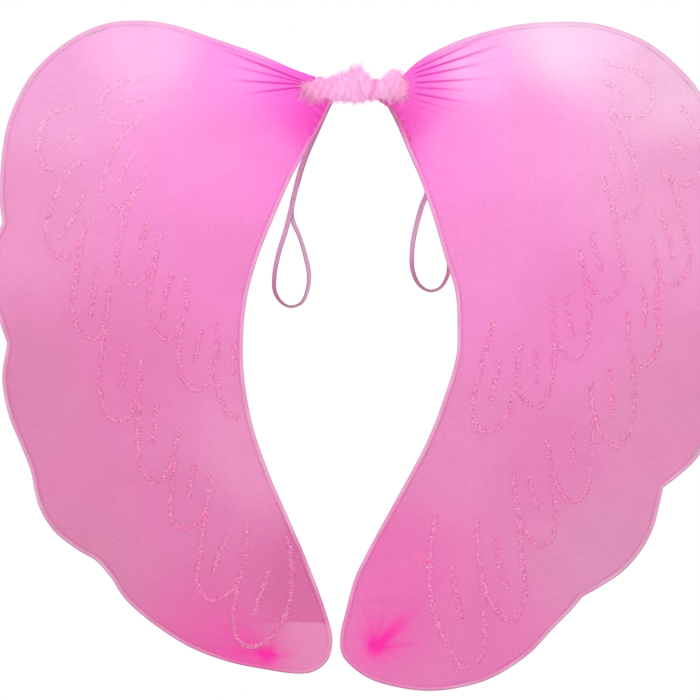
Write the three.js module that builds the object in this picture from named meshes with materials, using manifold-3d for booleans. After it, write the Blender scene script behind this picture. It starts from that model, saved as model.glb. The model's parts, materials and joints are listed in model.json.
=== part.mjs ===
// Child's fairy wings: two wire loops under stretched knit covers, bound together at a furry centre,
// with glitter feathers drawn on the front and two elastic arm loops behind.
// Millimetres. +X is the wearer's right, +Z is up, the decorated front faces -Y and the wearer stands at +Y.
// The origin is on the flat back of the fur trim, where the wings rest on the wearer.
import * as THREE from 'three';
import { mergeVertices } from 'three/addons/utils/BufferGeometryUtils.js';
import Module from 'manifold-3d';

const wasm = await Module();
wasm.setup();

// Driving dimensions
const WING_PLANE_Y = -11;          // the middle of the wire, behind which the wearer's back is 11 mm away
const BOW_DEPTH = 12;              // how far the outer edge sweeps away from the wearer
const BOW_START = 40;              // distance from the middle where that sweep begins
const BOW_SPAN = 260;
const WIRE_RADIUS = 1.2;
const TUNNEL_RADIUS = 1.7;         // inside of the cover's rim, round the wire
const RIM_RADIUS = 2.3;            // outside of the cover's rim
const COVER_HALF_THICKNESS = 0.35; // front and back layers lying on each other
const COVER_COLUMNS = 5;           // panels across the cover
const GLITTER_WIDTH = 4.4;
const GLITTER_THICKNESS = 1.2;
const GLITTER_GAP = 0.5;
const GLITTER_STEPS = 10;
const LEFT_HINGE_X = -30;          // where each wing's wires bend beside the bound centre
const RIGHT_HINGE_X = 28;
const NECK_HALF_HEIGHT = 4.3;      // the two wires of a wing at its hinge
const FUR_RADIUS = 12.5;
const FUR_BORE_RADIUS = 5.4;
const FUR_LEFT = -19;
const FUR_RIGHT = 17;
const TAPE_RADIUS = 4.9;
const TAPE_BORE_RADIUS = 4.1;
const TAPE_LEFT = -20.5;
const TAPE_RIGHT = 18.5;
const TIE_RADIUS = 6.6;
const TIE_BORE_RADIUS = 5.5;
const ELASTIC_WIDTH = 4;
const ELASTIC_THICKNESS = 1.1;
const ELASTIC_STEPS = 44;

const colours = {
  cover: { color: 0xf486c8, roughness: 0.75, metalness: 0 },
  knot: { color: 0xf836ae, roughness: 0.8, metalness: 0 },
  fur: { color: 0xfbb2dc, roughness: 0.95, metalness: 0 },
  glitter: { color: 0xf7c3e4, roughness: 0.3, metalness: 0.2 },
  elastic: { color: 0xc98aa6, roughness: 0.85, metalness: 0 },
  wire: { color: 0xb9bcc0, roughness: 0.35, metalness: 1 },
  tape: { color: 0xf3e9ee, roughness: 0.6, metalness: 0 },
  thread: { color: 0xf6a5d3, roughness: 0.8, metalness: 0 },
};

// Each wing is one bent wire. Its outer side is five lobes that meet at notches; its inner side is one curve
// from the lower tip up to the neck. Points are [x, z], on the wire's centre line.
const leftOutline = {
  lobes: [
    { steps: 11, points: [[-37, 6.2], [-56, 13], [-81, 24], [-118, 37], [-155, 49], [-183, 52], [-209, 49],
      [-235, 37], [-263, 13], [-278, -11], [-287, -36], [-291, -64], [-292, -93], [-290, -112]] },
    { steps: 4, points: [[-290, -112], [-297, -128], [-301, -148], [-298, -172], [-292, -192], [-286, -210]] },
    { steps: 5, points: [[-286, -210], [-290, -239], [-285, -268], [-275, -293], [-267, -314], [-264, -330]] },
    { steps: 4, points: [[-264, -330], [-260, -344], [-248, -363], [-229, -378], [-214, -387], [-202, -401]] },
    { steps: 8, points: [[-202, -401], [-190, -419], [-167, -439], [-139, -457], [-108, -469], [-80, -475],
      [-50, -479]] },
  ],
  tip: [[-50, -479], [-38, -477], [-29, -470], [-25.5, -461], [-25, -450]],
  inner: [[-25, -450], [-31, -428], [-44, -393], [-58, -360], [-76, -319], [-90, -278], [-97, -239], [-98, -207],
    [-95, -174], [-87, -143], [-73, -107], [-57, -71], [-44, -47], [-35, -25], [-37, -9]],
};
const rightOutline = {
  lobes: [
    { steps: 11, points: [[35, 6.2], [46, 17], [58, 25], [84, 37], [107, 44], [131, 49], [162, 51], [195, 49],
      [229, 37], [247, 25], [260, 13], [271, 1], [280, -14], [288, -34], [293, -60], [296, -89], [294, -112]] },
    { steps: 4, points: [[294, -112], [301, -130], [304, -150], [302, -174], [295, -192], [289, -207]] },
    { steps: 5, points: [[289, -207], [292, -234], [290, -260], [283, -285], [275, -301], [260, -316], [246, -327]] },
    { steps: 4, points: [[246, -327], [242, -345], [238, -360], [228, -379], [214, -395], [200, -405], [181, -416]] },
    { steps: 8, points: [[181, -416], [171, -428], [159, -440], [136, -464], [106, -483], [78, -491], [53, -493],
      [26, -489]] },
  ],
  tip: [[26, -489], [8, -483], [-6, -473], [-13, -464], [-14, -450]],
  inner: [[-14, -450], [-10, -432], [-2, -403], [15, -369], [36, -331], [57, -291], [71, -255], [81, -221],
    [82, -195], [80, -166], [72, -140], [62, -106], [50, -71], [39, -45], [33, -24], [35, -9]],
};

// Glitter glue strokes, [x, z]. Each feather is an open outline, begun on the feather before it, and a quill.
const leftFeathers = {
  inner: [
    { outline: [[-171, 7], [-194, 4], [-210, -8], [-211, -22], [-196, -31], [-178, -23]],
      quill: [[-169, -6], [-195, -15]] },
    { outline: [[-178, -24], [-196, -44], [-209, -70], [-210, -92], [-198, -101], [-183, -85], [-173, -66]],
      quill: [[-182, -49], [-198, -80]] },
    { outline: [[-185, -89], [-194, -114], [-199, -141], [-196, -156], [-184, -162], [-170, -147], [-163, -123]],
      quill: [[-171, -107], [-181, -139]] },
    { outline: [[-168, -144], [-173, -170], [-173, -189], [-166, -203], [-157, -207], [-144, -189], [-142, -156]],
      quill: [[-153, -152], [-162, -191]] },
    { outline: [[-146, -192], [-148, -221], [-146, -238], [-133, -249], [-121, -236], [-117, -209], [-118, -194]],
      quill: [[-130, -197], [-135, -226]] },
    { outline: [[-118, -235], [-114, -257], [-107, -268], [-99, -272]],
      quill: [[-103, -207], [-104, -237]] },
  ],
  outer: [
    { outline: [[-232, -15], [-255, -25], [-263, -48], [-257, -66], [-244, -70], [-224, -59]],
      quill: [[-232, -37], [-248, -52]] },
    { outline: [[-236, -68], [-249, -90], [-256, -117], [-252, -135], [-243, -141], [-230, -130], [-222, -107]],
      quill: [[-225, -86], [-247, -126]] },
    { outline: [[-227, -125], [-232, -158], [-235, -184], [-230, -199], [-216, -207], [-208, -191], [-205, -164]],
      quill: [[-216, -145], [-221, -189]] },
    { outline: [[-208, -190], [-212, -228], [-212, -255], [-202, -273], [-189, -270], [-181, -247], [-180, -224]],
      quill: [[-190, -209], [-196, -249]] },
    { outline: [[-180, -250], [-182, -289], [-179, -312], [-168, -324], [-157, -315], [-152, -298], [-148, -281]],
      quill: [[-166, -259], [-169, -293]] },
    { outline: [[-151, -301], [-155, -343], [-153, -357], [-142, -362], [-129, -352], [-124, -332], [-123, -319]],
      quill: [[-135, -309], [-140, -337]] },
    { outline: [[-126, -346], [-131, -381], [-133, -408], [-123, -421], [-107, -415], [-95, -390], [-93, -353]],
      quill: [[-107, -366], [-121, -401]] },
    { outline: [[-99, -402], [-104, -433], [-100, -453], [-88, -459], [-68, -446], [-57, -417], [-57, -381],
      [-61, -367]], quill: [[-73, -395], [-87, -433]] },
  ],
};
const rightFeathers = {
  inner: [
    { outline: [[198, 20], [221, 14], [238, 2], [238, -17], [222, -27], [203, -18]],
      quill: [[198, 5], [223, -11]] },
    { outline: [[204, -19], [220, -49], [229, -83], [226, -104], [215, -106], [203, -88], [198, -71]],
      quill: [[205, -49], [216, -88]] },
    { outline: [[206, -97], [212, -129], [215, -159], [202, -175], [187, -160], [180, -134]],
      quill: [[190, -117], [198, -152]] },
    { outline: [[184, -154], [188, -185], [185, -212], [174, -224], [161, -209], [158, -189], [158, -171]],
      quill: [[170, -165], [175, -207]] },
    { outline: [[160, -210], [157, -238], [150, -260], [142, -263], [130, -248], [130, -225], [133, -211]],
      quill: [[144, -213], [145, -243]] },
    { outline: [[129, -237], [122, -266], [112, -280], [99, -282], [92, -265], [98, -236], [110, -190]],
      quill: [[115, -223], [107, -258]] },
  ],
  outer: [
    { outline: [[261, -16], [274, -35], [280, -56], [277, -74], [267, -81], [253, -75], [246, -71]],
      quill: [[255, -42], [266, -60]] },
    { outline: [[255, -76], [264, -110], [269, -144], [259, -162], [249, -160], [242, -140], [238, -121]],
      quill: [[242, -98], [256, -142]] },
    { outline: [[242, -142], [243, -183], [244, -213], [230, -230], [221, -216], [219, -182]],
      quill: [[230, -162], [233, -197]] },
    { outline: [[223, -224], [223, -274], [210, -295], [196, -280], [190, -262], [189, -242]],
      quill: [[203, -228], [206, -270]] },
    { outline: [[191, -270], [189, -308], [183, -335], [173, -340], [162, -328], [156, -309], [153, -290]],
      quill: [[175, -273], [175, -309]] },
    { outline: [[158, -322], [160, -351], [157, -371], [146, -376], [135, -363], [127, -335], [126, -316]],
      quill: [[139, -317], [146, -346]] },
    { outline: [[130, -346], [132, -384], [135, -417], [126, -438], [112, -430], [100, -403], [96, -371],
      [96, -353]], quill: [[111, -368], [121, -412]] },
    { outline: [[100, -404], [102, -449], [97, -470], [84, -475], [72, -459], [60, -427], [57, -388], [62, -351]],
      quill: [[76, -391], [84, -436]] },
  ],
};

// Arm elastics, [x, y, z]: down doubled from the knot, round the arm loop and back up behind the first strand.
const leftElasticRoute = [
  [-24.5, -5.4, -10.9], [-28, -3, -18], [-34, 0, -31], [-45, 1.6, -56], [-50.5, 1.8, -73], [-57.5, 2, -103],
  [-62, 2.2, -120], [-66.5, 2.4, -134], [-70.5, 2.6, -154], [-70, 2.8, -168], [-64, 3, -177], [-57, 3.2, -180],
  [-48.5, 3.4, -177], [-43.5, 3.6, -167], [-42, 3.8, -154], [-45, 4, -138], [-49.5, 4.2, -123], [-56.5, 4.5, -104],
  [-50, 4.5, -73], [-44.5, 4.3, -56], [-33.5, 3, -31], [-27.5, 0.3, -18], [-24, -2.6, -10.9]];
const rightElasticRoute = [
  [22.5, -5.4, -10.9], [27, -3, -19], [34, 0, -33], [42, 1.4, -52], [50, 1.8, -70], [55.5, 2, -84],
  [51, 2.2, -97], [46.5, 2.4, -113], [43.2, 2.6, -131], [43.5, 2.8, -150], [49, 3, -162], [57.5, 3.2, -167],
  [66, 3.4, -164.5], [72, 3.6, -155], [73.5, 3.8, -142], [70, 4, -120], [63.5, 4.2, -101], [56, 4.5, -84],
  [50, 4.5, -70], [42, 4.3, -52], [34, 3, -33], [27, 0.3, -19], [22.3, -2.6, -10.9]];

// A gathered end of the knit tube, tied off behind the lower tip of each wing, [x, z].
const leftTipKnot = [-75, -465];
const rightTipKnot = [12, -460];

const assembly = new THREE.Group();

function addMesh(name, geometry, finish) {
  const mesh = new THREE.Mesh(geometry, new THREE.MeshStandardMaterial(finish));
  mesh.name = name;
  assembly.add(mesh);
}

// The wings sweep gently away from the wearer towards their outer edges.
function bowAt(x) {
  const reach = Math.max(0, Math.abs(x) - BOW_START) / BOW_SPAN;
  return -BOW_DEPTH * reach * reach;
}

function bowed(geometry) {
  const position = geometry.getAttribute('position');
  for (let i = 0; i < position.count; i += 1) {
    position.setY(i, position.getY(i) + bowAt(position.getX(i)));
  }
  geometry.computeVertexNormals();
  return geometry;
}

function curveThrough(points) {
  return new THREE.CatmullRomCurve3(points.map(([x, z]) => new THREE.Vector3(x, WING_PLANE_Y, z)), false, 'centripetal');
}

// Stations along a wing's wire from its upper hinge end, out round the lobes and tip, back to its lower end.
function wireStations(outline, hingeX) {
  const outward = Math.sign(hingeX);
  const points = [];
  outline.lobes.forEach((lobe, index) => {
    const spaced = curveThrough(lobe.points).getSpacedPoints(lobe.steps);
    points.push(...(index === 0 ? spaced : spaced.slice(1)));
  });
  const rows = points.length;
  points.push(...curveThrough(outline.tip).getSpacedPoints(COVER_COLUMNS).slice(1, -1));
  points.push(...curveThrough(outline.inner).getSpacedPoints(rows - 1));
  const neckPoint = (offset, z) => new THREE.Vector3(hingeX + outward * offset, WING_PLANE_Y, z);
  const chain = [
    neckPoint(1.6, NECK_HALF_HEIGHT), neckPoint(4.6, NECK_HALF_HEIGHT + 0.7),
    ...points,
    neckPoint(4.6, -NECK_HALF_HEIGHT - 1.3), neckPoint(1.6, -NECK_HALF_HEIGHT),
  ];
  const stations = chain.map((point, i) => {
    const before = chain[Math.max(i - 1, 0)];
    const after = chain[Math.min(i + 1, chain.length - 1)];
    const along = after.clone().sub(before).normalize();
    const inward = new THREE.Vector3(along.z * outward, 0, -along.x * outward);
    return { point, inward };
  });
  return { stations, rows };
}

// Seven corners round a station's wire. The first and last lie either side of the inward direction, where the
// flat of the cover joins its rim.
const joinAngle = Math.asin(COVER_HALF_THICKNESS / RIM_RADIUS);
const RIM_CORNERS = 7;
function ringAt(station, radius) {
  const ring = [];
  for (let k = 0; k < RIM_CORNERS; k += 1) {
    const angle = joinAngle + (k / (RIM_CORNERS - 1)) * (2 * Math.PI - 2 * joinAngle);
    ring.push(station.point.clone()
      .addScaledVector(station.inward, radius * Math.cos(angle))
      .add(new THREE.Vector3(0, -radius * Math.sin(angle), 0)));
  }
  return ring;
}

// Collects points and faces. Corners are listed anticlockwise seen from outside on the left wing, and the
// right wing, whose stations run the other way round, turns them over.
class SolidBuilder {
  constructor(outward) {
    this.points = [];
    this.faces = [];
    this.outward = outward;
  }

  addPoint(point) {
    return this.points.push(point) - 1;
  }

  triangle(a, b, c) {
    this.faces.push(...(this.outward < 0 ? [a, b, c] : [a, c, b]));
  }

  quad(a, b, c, d) {
    this.triangle(a, b, c);
    this.triangle(a, c, d);
  }

  geometry() {
    const geometry = new THREE.BufferGeometry().setFromPoints(this.points);
    geometry.setIndex(this.faces);
    return geometry;
  }
}

function makeFrameWire(stations, outward) {
  const solid = new SolidBuilder(outward);
  const rings = stations.map((station) => ringAt(station, WIRE_RADIUS).map((p) => solid.addPoint(p)));
  for (let i = 0; i + 1 < rings.length; i += 1) {
    for (let k = 0; k < RIM_CORNERS; k += 1) {
      const next = (k + 1) % RIM_CORNERS;
      solid.quad(rings[i][k], rings[i][next], rings[i + 1][next], rings[i + 1][k]);
    }
  }
  const first = rings[0];
  const last = rings[rings.length - 1];
  for (let k = 1; k + 1 < RIM_CORNERS; k += 1) {
    solid.triangle(first[0], first[k + 1], first[k]);
    solid.triangle(last[0], last[k], last[k + 1]);
  }
  return bowed(solid.geometry());
}

// The cover: two layers pulled flat on each other, with a rim tunnel round the wire that is open at the neck.
function makeCover(stations, rows, outward) {
  const solid = new SolidBuilder(outward);
  const outer = stations.map((station) => ringAt(station, RIM_RADIUS).map((p) => solid.addPoint(p)));
  const tunnel = stations.map((station) => ringAt(station, TUNNEL_RADIUS).map((p) => solid.addPoint(p)));
  const lastCorner = RIM_CORNERS - 1;
  for (let i = 0; i + 1 < stations.length; i += 1) {
    for (let k = 0; k < RIM_CORNERS; k += 1) {
      const next = (k + 1) % RIM_CORNERS;
      solid.quad(tunnel[i][k], tunnel[i + 1][k], tunnel[i + 1][next], tunnel[i][next]);
      if (k < lastCorner) {
        solid.quad(outer[i][k], outer[i][next], outer[i + 1][next], outer[i + 1][k]);
      }
    }
  }
  const end = stations.length - 1;
  for (let k = 0; k < RIM_CORNERS; k += 1) {
    const next = (k + 1) % RIM_CORNERS;
    solid.quad(outer[0][k], tunnel[0][k], tunnel[0][next], outer[0][next]);
    solid.quad(outer[end][k], outer[end][next], tunnel[end][next], tunnel[end][k]);
  }
  // The flat of each layer is a grid of rows from the outer side to the inner side; the last row is the tip.
  const layer = (corner) => {
    const grid = [];
    for (let row = 0; row < rows; row += 1) {
      const from = outer[row][corner];
      const to = outer[end - row][corner];
      const line = [from];
      for (let column = 1; column < COVER_COLUMNS; column += 1) {
        const isTip = row === rows - 1;
        const share = column / COVER_COLUMNS;
        line.push(isTip ? outer[row + column][corner]
          : solid.addPoint(solid.points[from].clone().lerp(solid.points[to], share)));
      }
      grid.push([...line, to]);
    }
    return grid;
  };
  const front = layer(0);
  const back = layer(lastCorner);
  for (let row = 0; row + 1 < rows; row += 1) {
    for (let column = 0; column < COVER_COLUMNS; column += 1) {
      const a = [row, column];
      const corners = [a, [row + 1, column], [row + 1, column + 1], [row, column + 1]];
      solid.quad(...corners.map(([r, c]) => front[r][c]));
      solid.quad(...corners.map(([r, c]) => back[r][c]).reverse());
    }
  }
  for (let column = 0; column < COVER_COLUMNS; column += 1) {
    solid.quad(front[0][column], front[0][column + 1], back[0][column + 1], back[0][column]);
  }
  return bowed(solid.geometry());
}

function ribbonShape(thickness, width) {
  const shape = new THREE.Shape();
  shape.moveTo(-thickness / 2, -width / 2);
  shape.lineTo(thickness / 2, -width / 2);
  shape.lineTo(thickness / 2, width / 2);
  shape.lineTo(-thickness / 2, width / 2);
  return shape;
}

const glitterY = WING_PLANE_Y - COVER_HALF_THICKNESS - GLITTER_GAP - GLITTER_THICKNESS / 2;
function makeStroke(points, steps) {
  const path = new THREE.CatmullRomCurve3(points.map(([x, z]) => new THREE.Vector3(x, glitterY, z)));
  return new THREE.ExtrudeGeometry(ribbonShape(GLITTER_THICKNESS, GLITTER_WIDTH), { steps, extrudePath: path });
}

function toManifold(geometry) {
  const bare = geometry.clone();
  bare.deleteAttribute('normal');
  bare.deleteAttribute('uv');
  const merged = mergeVertices(bare, 1e-4);
  const mesh = new wasm.Mesh({
    numProp: 3,
    vertProperties: new Float32Array(merged.getAttribute('position').array),
    triVerts: new Uint32Array(merged.getIndex().array),
  });
  return new wasm.Manifold(mesh);
}

function fromManifold(manifold) {
  const mesh = manifold.getMesh();
  const geometry = new THREE.BufferGeometry();
  geometry.setAttribute('position', new THREE.BufferAttribute(new Float32Array(mesh.vertProperties), 3));
  geometry.setIndex(new THREE.BufferAttribute(new Uint32Array(mesh.triVerts), 1));
  return geometry;
}

// A row's feather outlines run into each other, so they are one piece of dried glue.
function makeFeatherRow(feathers) {
  const strokes = feathers.map((feather) => toManifold(makeStroke(feather.outline, GLITTER_STEPS)));
  return bowed(fromManifold(strokes.reduce((joined, stroke) => joined.add(stroke))));
}

// A ring round the X axis, made from [x, radius] corners that close on themselves.
function makeRingAboutX(profile, segments) {
  const closed = [...profile, profile[0]].map(([x, radius]) => new THREE.Vector2(radius, x));
  const geometry = new THREE.LatheGeometry(closed, segments);
  geometry.rotateZ(-Math.PI / 2);
  geometry.translate(0, WING_PLANE_Y, 0);
  return geometry;
}

function makeFurTrim() {
  const edge = 4;
  const geometry = makeRingAboutX([
    [FUR_LEFT, FUR_BORE_RADIUS], [FUR_LEFT, FUR_RADIUS - edge], [FUR_LEFT + edge, FUR_RADIUS],
    [FUR_RIGHT - edge, FUR_RADIUS], [FUR_RIGHT, FUR_RADIUS - edge], [FUR_RIGHT, FUR_BORE_RADIUS],
  ], 20);
  const position = geometry.getAttribute('position');
  for (let i = 0; i < position.count; i += 1) {
    position.setY(i, Math.min(0, position.getY(i)));
  }
  geometry.computeVertexNormals();
  return geometry;
}

function makeBand(left, right, boreRadius, radius, segments) {
  return makeRingAboutX([[left, boreRadius], [left, radius], [right, radius], [right, boreRadius]], segments);
}

// The loose end of the fur strip lies on the front of the wing's gathers, as a low dome. It starts far enough
// from the hinge to pass the elastic tie when the wing is folded.
function makeFurEnd(hingeX) {
  const height = 9;
  const halfWidth = 7;
  const fromHinge = 13.5;
  const dome = [[0, 0], [1, 0], [0.95, 0.45], [0.68, 0.8], [0.3, 0.97], [0, 1]];
  const geometry = new THREE.LatheGeometry(dome.map(([r, y]) => new THREE.Vector2(r, y)), 14);
  geometry.rotateX(Math.PI);
  geometry.scale(halfWidth, height, FUR_RADIUS);
  geometry.translate(hingeX + Math.sign(hingeX) * fromHinge, WING_PLANE_Y - RIM_RADIUS - 0.5, -0.5);
  return geometry;
}

function ovalPath(PathClass, halfY, halfZ, middleZ) {
  const path = new PathClass();
  path.absellipse(0, middleZ, halfY, halfZ, 0, 2 * Math.PI);
  return path;
}

// Thread wound round a wing's two wires just outside its hinge, holding the bunched end of the cover.
function makeGatherBinding(hingeX) {
  const middleZ = -0.25;
  const shape = ovalPath(THREE.Shape, 3.1, 8.4, middleZ);
  shape.holes.push(ovalPath(THREE.Path, 1.95, 7.2, middleZ));
  const width = 2.2;
  const geometry = new THREE.ExtrudeGeometry(shape, { depth: width, bevelEnabled: false, curveSegments: 8 });
  // The shape's x becomes Y, its y becomes Z, and the depth runs along X.
  geometry.applyMatrix4(new THREE.Matrix4().makeBasis(
    new THREE.Vector3(0, 1, 0), new THREE.Vector3(0, 0, 1), new THREE.Vector3(1, 0, 0)));
  const nearSide = hingeX > 0 ? hingeX + 2.3 : hingeX - 2.3 - width;
  geometry.translate(nearSide, WING_PLANE_Y, 0);
  return geometry;
}

// One of a wing's two wires, continued from its hinge into the bundle.
function makeWireTail(hingeX, upper) {
  const outward = Math.sign(hingeX);
  const zSide = upper ? 1 : -1;
  const ySide = upper ? outward : -outward;
  const farEnd = outward > 0 ? TAPE_LEFT + 3 : TAPE_RIGHT - 3;
  const route = [
    [hingeX - outward * 1.5, 0, NECK_HALF_HEIGHT], [hingeX - outward * 5, 0.3, 3.3],
    [hingeX - outward * 11, 1.3, 1.7], [hingeX - outward * 18, 1.6, 1.6], [farEnd, 1.6, 1.6],
  ];
  const path = new THREE.CatmullRomCurve3(route.map(
    ([x, y, z]) => new THREE.Vector3(x, WING_PLANE_Y + ySide * y, zSide * z)), false, 'centripetal');
  const section = new THREE.Shape();
  section.absarc(0, 0, WIRE_RADIUS, 0, 2 * Math.PI);
  return new THREE.ExtrudeGeometry(section, { steps: 9, extrudePath: path, curveSegments: 6 });
}

function makeElastic(route) {
  const path = new THREE.CatmullRomCurve3(route.map((p) => new THREE.Vector3(...p)), false, 'centripetal');
  const halfT = ELASTIC_THICKNESS / 2;
  const halfW = ELASTIC_WIDTH / 2;
  const corner = 0.3;
  const section = new THREE.Shape([
    [-halfT, -halfW + corner], [-halfT + corner, -halfW], [halfT - corner, -halfW], [halfT, -halfW + corner],
    [halfT, halfW - corner], [halfT - corner, halfW], [-halfT + corner, halfW], [-halfT, halfW - corner],
  ].map(([x, y]) => new THREE.Vector2(x, y)));
  return new THREE.ExtrudeGeometry(section, { steps: ELASTIC_STEPS, extrudePath: path });
}

function makeElasticKnot(x) {
  const geometry = new THREE.SphereGeometry(1, 10, 7);
  geometry.scale(2.4, 3.4, 2.6);
  geometry.translate(x, WING_PLANE_Y + 6.8, -7.6);
  return geometry;
}

// The tied-off end of a cover: a waist and a flared tuft behind the wing, with thread round the waist.
function makeTipKnot([x, z]) {
  const profile = [[0, 0], [2.6, 0], [2, 1.6], [2, 4], [4.2, 8.5], [3, 9.3], [0, 9]];
  const geometry = new THREE.LatheGeometry(profile.map(([r, y]) => new THREE.Vector2(r, y)), 10);
  geometry.translate(x, WING_PLANE_Y + bowAt(x) + COVER_HALF_THICKNESS + 0.4, z);
  return geometry;
}

function makeTipThread([x, z]) {
  const profile = [[2.4, 1.9], [3.4, 1.9], [3.4, 3.7], [2.4, 3.7], [2.4, 1.9]];
  const geometry = new THREE.LatheGeometry(profile.map(([r, y]) => new THREE.Vector2(r, y)), 10);
  geometry.translate(x, WING_PLANE_Y + bowAt(x) + COVER_HALF_THICKNESS + 0.4, z);
  return geometry;
}

function addWing(side, outline, feathers, hingeX, tipKnot) {
  const outward = Math.sign(hingeX);
  const { stations, rows } = wireStations(outline, hingeX);
  addMesh(`${side}_frame_wire`, makeFrameWire(stations, outward), colours.wire);
  addMesh(`${side}_wing_cover`, makeCover(stations.slice(2, -2), rows, outward), colours.cover);
  addMesh(`${side}_gather_binding`, makeGatherBinding(hingeX), colours.thread);
  addMesh(`${side}_fur_end`, makeFurEnd(hingeX), colours.fur);
  addMesh(`${side}_tip_knot`, makeTipKnot(tipKnot), colours.knot);
  addMesh(`${side}_tip_thread`, makeTipThread(tipKnot), colours.thread);
  addMesh(`${side}_inner_feather_row`, makeFeatherRow(feathers.inner), colours.glitter);
  addMesh(`${side}_outer_feather_row`, makeFeatherRow(feathers.outer), colours.glitter);
  [...feathers.inner, ...feathers.outer].forEach((feather, index) => {
    const number = String(index + 1).padStart(2, '0');
    addMesh(`${side}_quill_${number}`, bowed(makeStroke(feather.quill, 2)), colours.glitter);
  });
}

function addCentre() {
  addMesh('fur_trim', makeFurTrim(), colours.fur);
  addMesh('binding_tape', makeBand(TAPE_LEFT, TAPE_RIGHT, TAPE_BORE_RADIUS, TAPE_RADIUS, 16), colours.tape);
  for (const [side, hingeX] of [['left', LEFT_HINGE_X], ['right', RIGHT_HINGE_X]]) {
    addMesh(`${side}_upper_wire_tail`, makeWireTail(hingeX, true), colours.wire);
    addMesh(`${side}_lower_wire_tail`, makeWireTail(hingeX, false), colours.wire);
  }
}

function addArmLoop(side, hingeX, route) {
  const tieX = hingeX - Math.sign(hingeX) * 6;
  addMesh(`${side}_elastic_tie`,
    makeBand(tieX - ELASTIC_WIDTH / 2, tieX + ELASTIC_WIDTH / 2, TIE_BORE_RADIUS, TIE_RADIUS, 16), colours.elastic);
  addMesh(`${side}_elastic_knot`, makeElasticKnot(tieX), colours.elastic);
  addMesh(`${side}_arm_elastic`, makeElastic(route), colours.elastic);
}

addCentre();
addWing('left', leftOutline, leftFeathers, LEFT_HINGE_X, leftTipKnot);
addWing('right', rightOutline, rightFeathers, RIGHT_HINGE_X, rightTipKnot);
addArmLoop('left', LEFT_HINGE_X, leftElasticRoute);
addArmLoop('right', RIGHT_HINGE_X, rightElasticRoute);

export default assembly;
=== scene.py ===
import json
import math

import bmesh
import bpy
import numpy as np
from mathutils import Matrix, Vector
from mathutils.kdtree import KDTree


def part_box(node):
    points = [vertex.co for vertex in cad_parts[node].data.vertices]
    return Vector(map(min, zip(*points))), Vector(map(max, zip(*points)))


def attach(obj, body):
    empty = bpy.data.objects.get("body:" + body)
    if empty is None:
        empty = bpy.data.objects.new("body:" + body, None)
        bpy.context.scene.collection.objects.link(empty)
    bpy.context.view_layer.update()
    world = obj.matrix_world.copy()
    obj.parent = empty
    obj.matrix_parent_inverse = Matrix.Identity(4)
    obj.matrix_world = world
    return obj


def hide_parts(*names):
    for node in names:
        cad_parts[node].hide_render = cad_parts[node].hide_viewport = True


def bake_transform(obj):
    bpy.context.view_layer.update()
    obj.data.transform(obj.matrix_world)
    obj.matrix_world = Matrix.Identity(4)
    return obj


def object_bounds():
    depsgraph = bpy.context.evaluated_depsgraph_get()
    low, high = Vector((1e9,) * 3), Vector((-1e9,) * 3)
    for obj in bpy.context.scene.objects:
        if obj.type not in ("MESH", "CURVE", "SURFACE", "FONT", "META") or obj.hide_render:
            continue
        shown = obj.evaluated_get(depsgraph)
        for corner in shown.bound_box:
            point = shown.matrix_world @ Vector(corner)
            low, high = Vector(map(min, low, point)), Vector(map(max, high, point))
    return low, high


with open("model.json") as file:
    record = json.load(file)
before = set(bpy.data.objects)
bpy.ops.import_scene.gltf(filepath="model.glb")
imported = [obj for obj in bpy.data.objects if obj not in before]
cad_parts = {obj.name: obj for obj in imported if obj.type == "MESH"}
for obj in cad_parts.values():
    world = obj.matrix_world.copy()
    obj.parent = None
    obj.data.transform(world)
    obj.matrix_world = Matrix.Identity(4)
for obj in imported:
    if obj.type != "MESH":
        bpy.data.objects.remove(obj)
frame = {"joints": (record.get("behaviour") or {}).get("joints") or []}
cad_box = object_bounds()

# A child's fairy wings. Lengths are in millimetres, as in the model, and become metres in make_mesh and
# wherever MM is used. A wing's outline, a glue stroke and a hem are points [x, z] in the plane of the wings.
MM = 0.001
SIDES = {"left": -1, "right": 1}       # the way along X from the middle out to each wing's edge
rng = np.random.default_rng(7)

PLANE_Y = -11.0        # the middle of the frame wire
BOW_DEPTH = 12.0       # how far the outer edges sweep away from the wearer
BOW_START = 40.0
BOW_SPAN = 260.0
RIM_RADIUS = 1.75      # the cover pulled round the wire
RIM_SHIFT = 0.4        # and drawn outwards on it
LAYER_HALF = 0.45      # half the cover's thickness where its two layers lie on each other
HINGE_X = {side: joint["pos_m"][0] / MM
           for side in SIDES for joint in frame["joints"] if joint["child"] == f"{side}_wing"}


# ---------------------------------------------------------------- curves and meshes

SPAN_STEPS = 16


def catmull_rom(points):
    """A centripetal Catmull-Rom curve through the points, as a dense polyline."""
    p = np.asarray(points, float)
    p = np.vstack([2 * p[0] - p[1], p, 2 * p[-1] - p[-2]])
    out = []
    for i in range(1, len(p) - 2):
        p0, p1, p2, p3 = p[i - 1:i + 3]
        d1, d2, d3 = (max(np.linalg.norm(b - a), 1e-6) ** 0.5 for a, b in ((p0, p1), (p1, p2), (p2, p3)))
        m1 = (p1 - p0) / d1 - (p2 - p0) / (d1 + d2) + (p2 - p1) / d2
        m2 = (p2 - p1) / d2 - (p3 - p1) / (d2 + d3) + (p3 - p2) / d3
        m1, m2 = m1 * d2, m2 * d2
        t = np.linspace(0, 1, SPAN_STEPS, endpoint=False)[:, None]
        out.append(p1 + m1 * t + (-3 * p1 + 3 * p2 - 2 * m1 - m2) * t**2 + (2 * p1 - 2 * p2 + m1 + m2) * t**3)
    out.append(p[-2:-1])
    return np.vstack(out)


def resample(line, count):
    """count points, ends included, at equal steps along a polyline."""
    steps = np.linalg.norm(np.diff(line, axis=0), axis=1)
    along = np.concatenate([[0], np.cumsum(steps)])
    at = np.linspace(0, along[-1], count)
    return np.stack([np.interp(at, along, line[:, k]) for k in range(line.shape[1])], axis=1)


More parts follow.
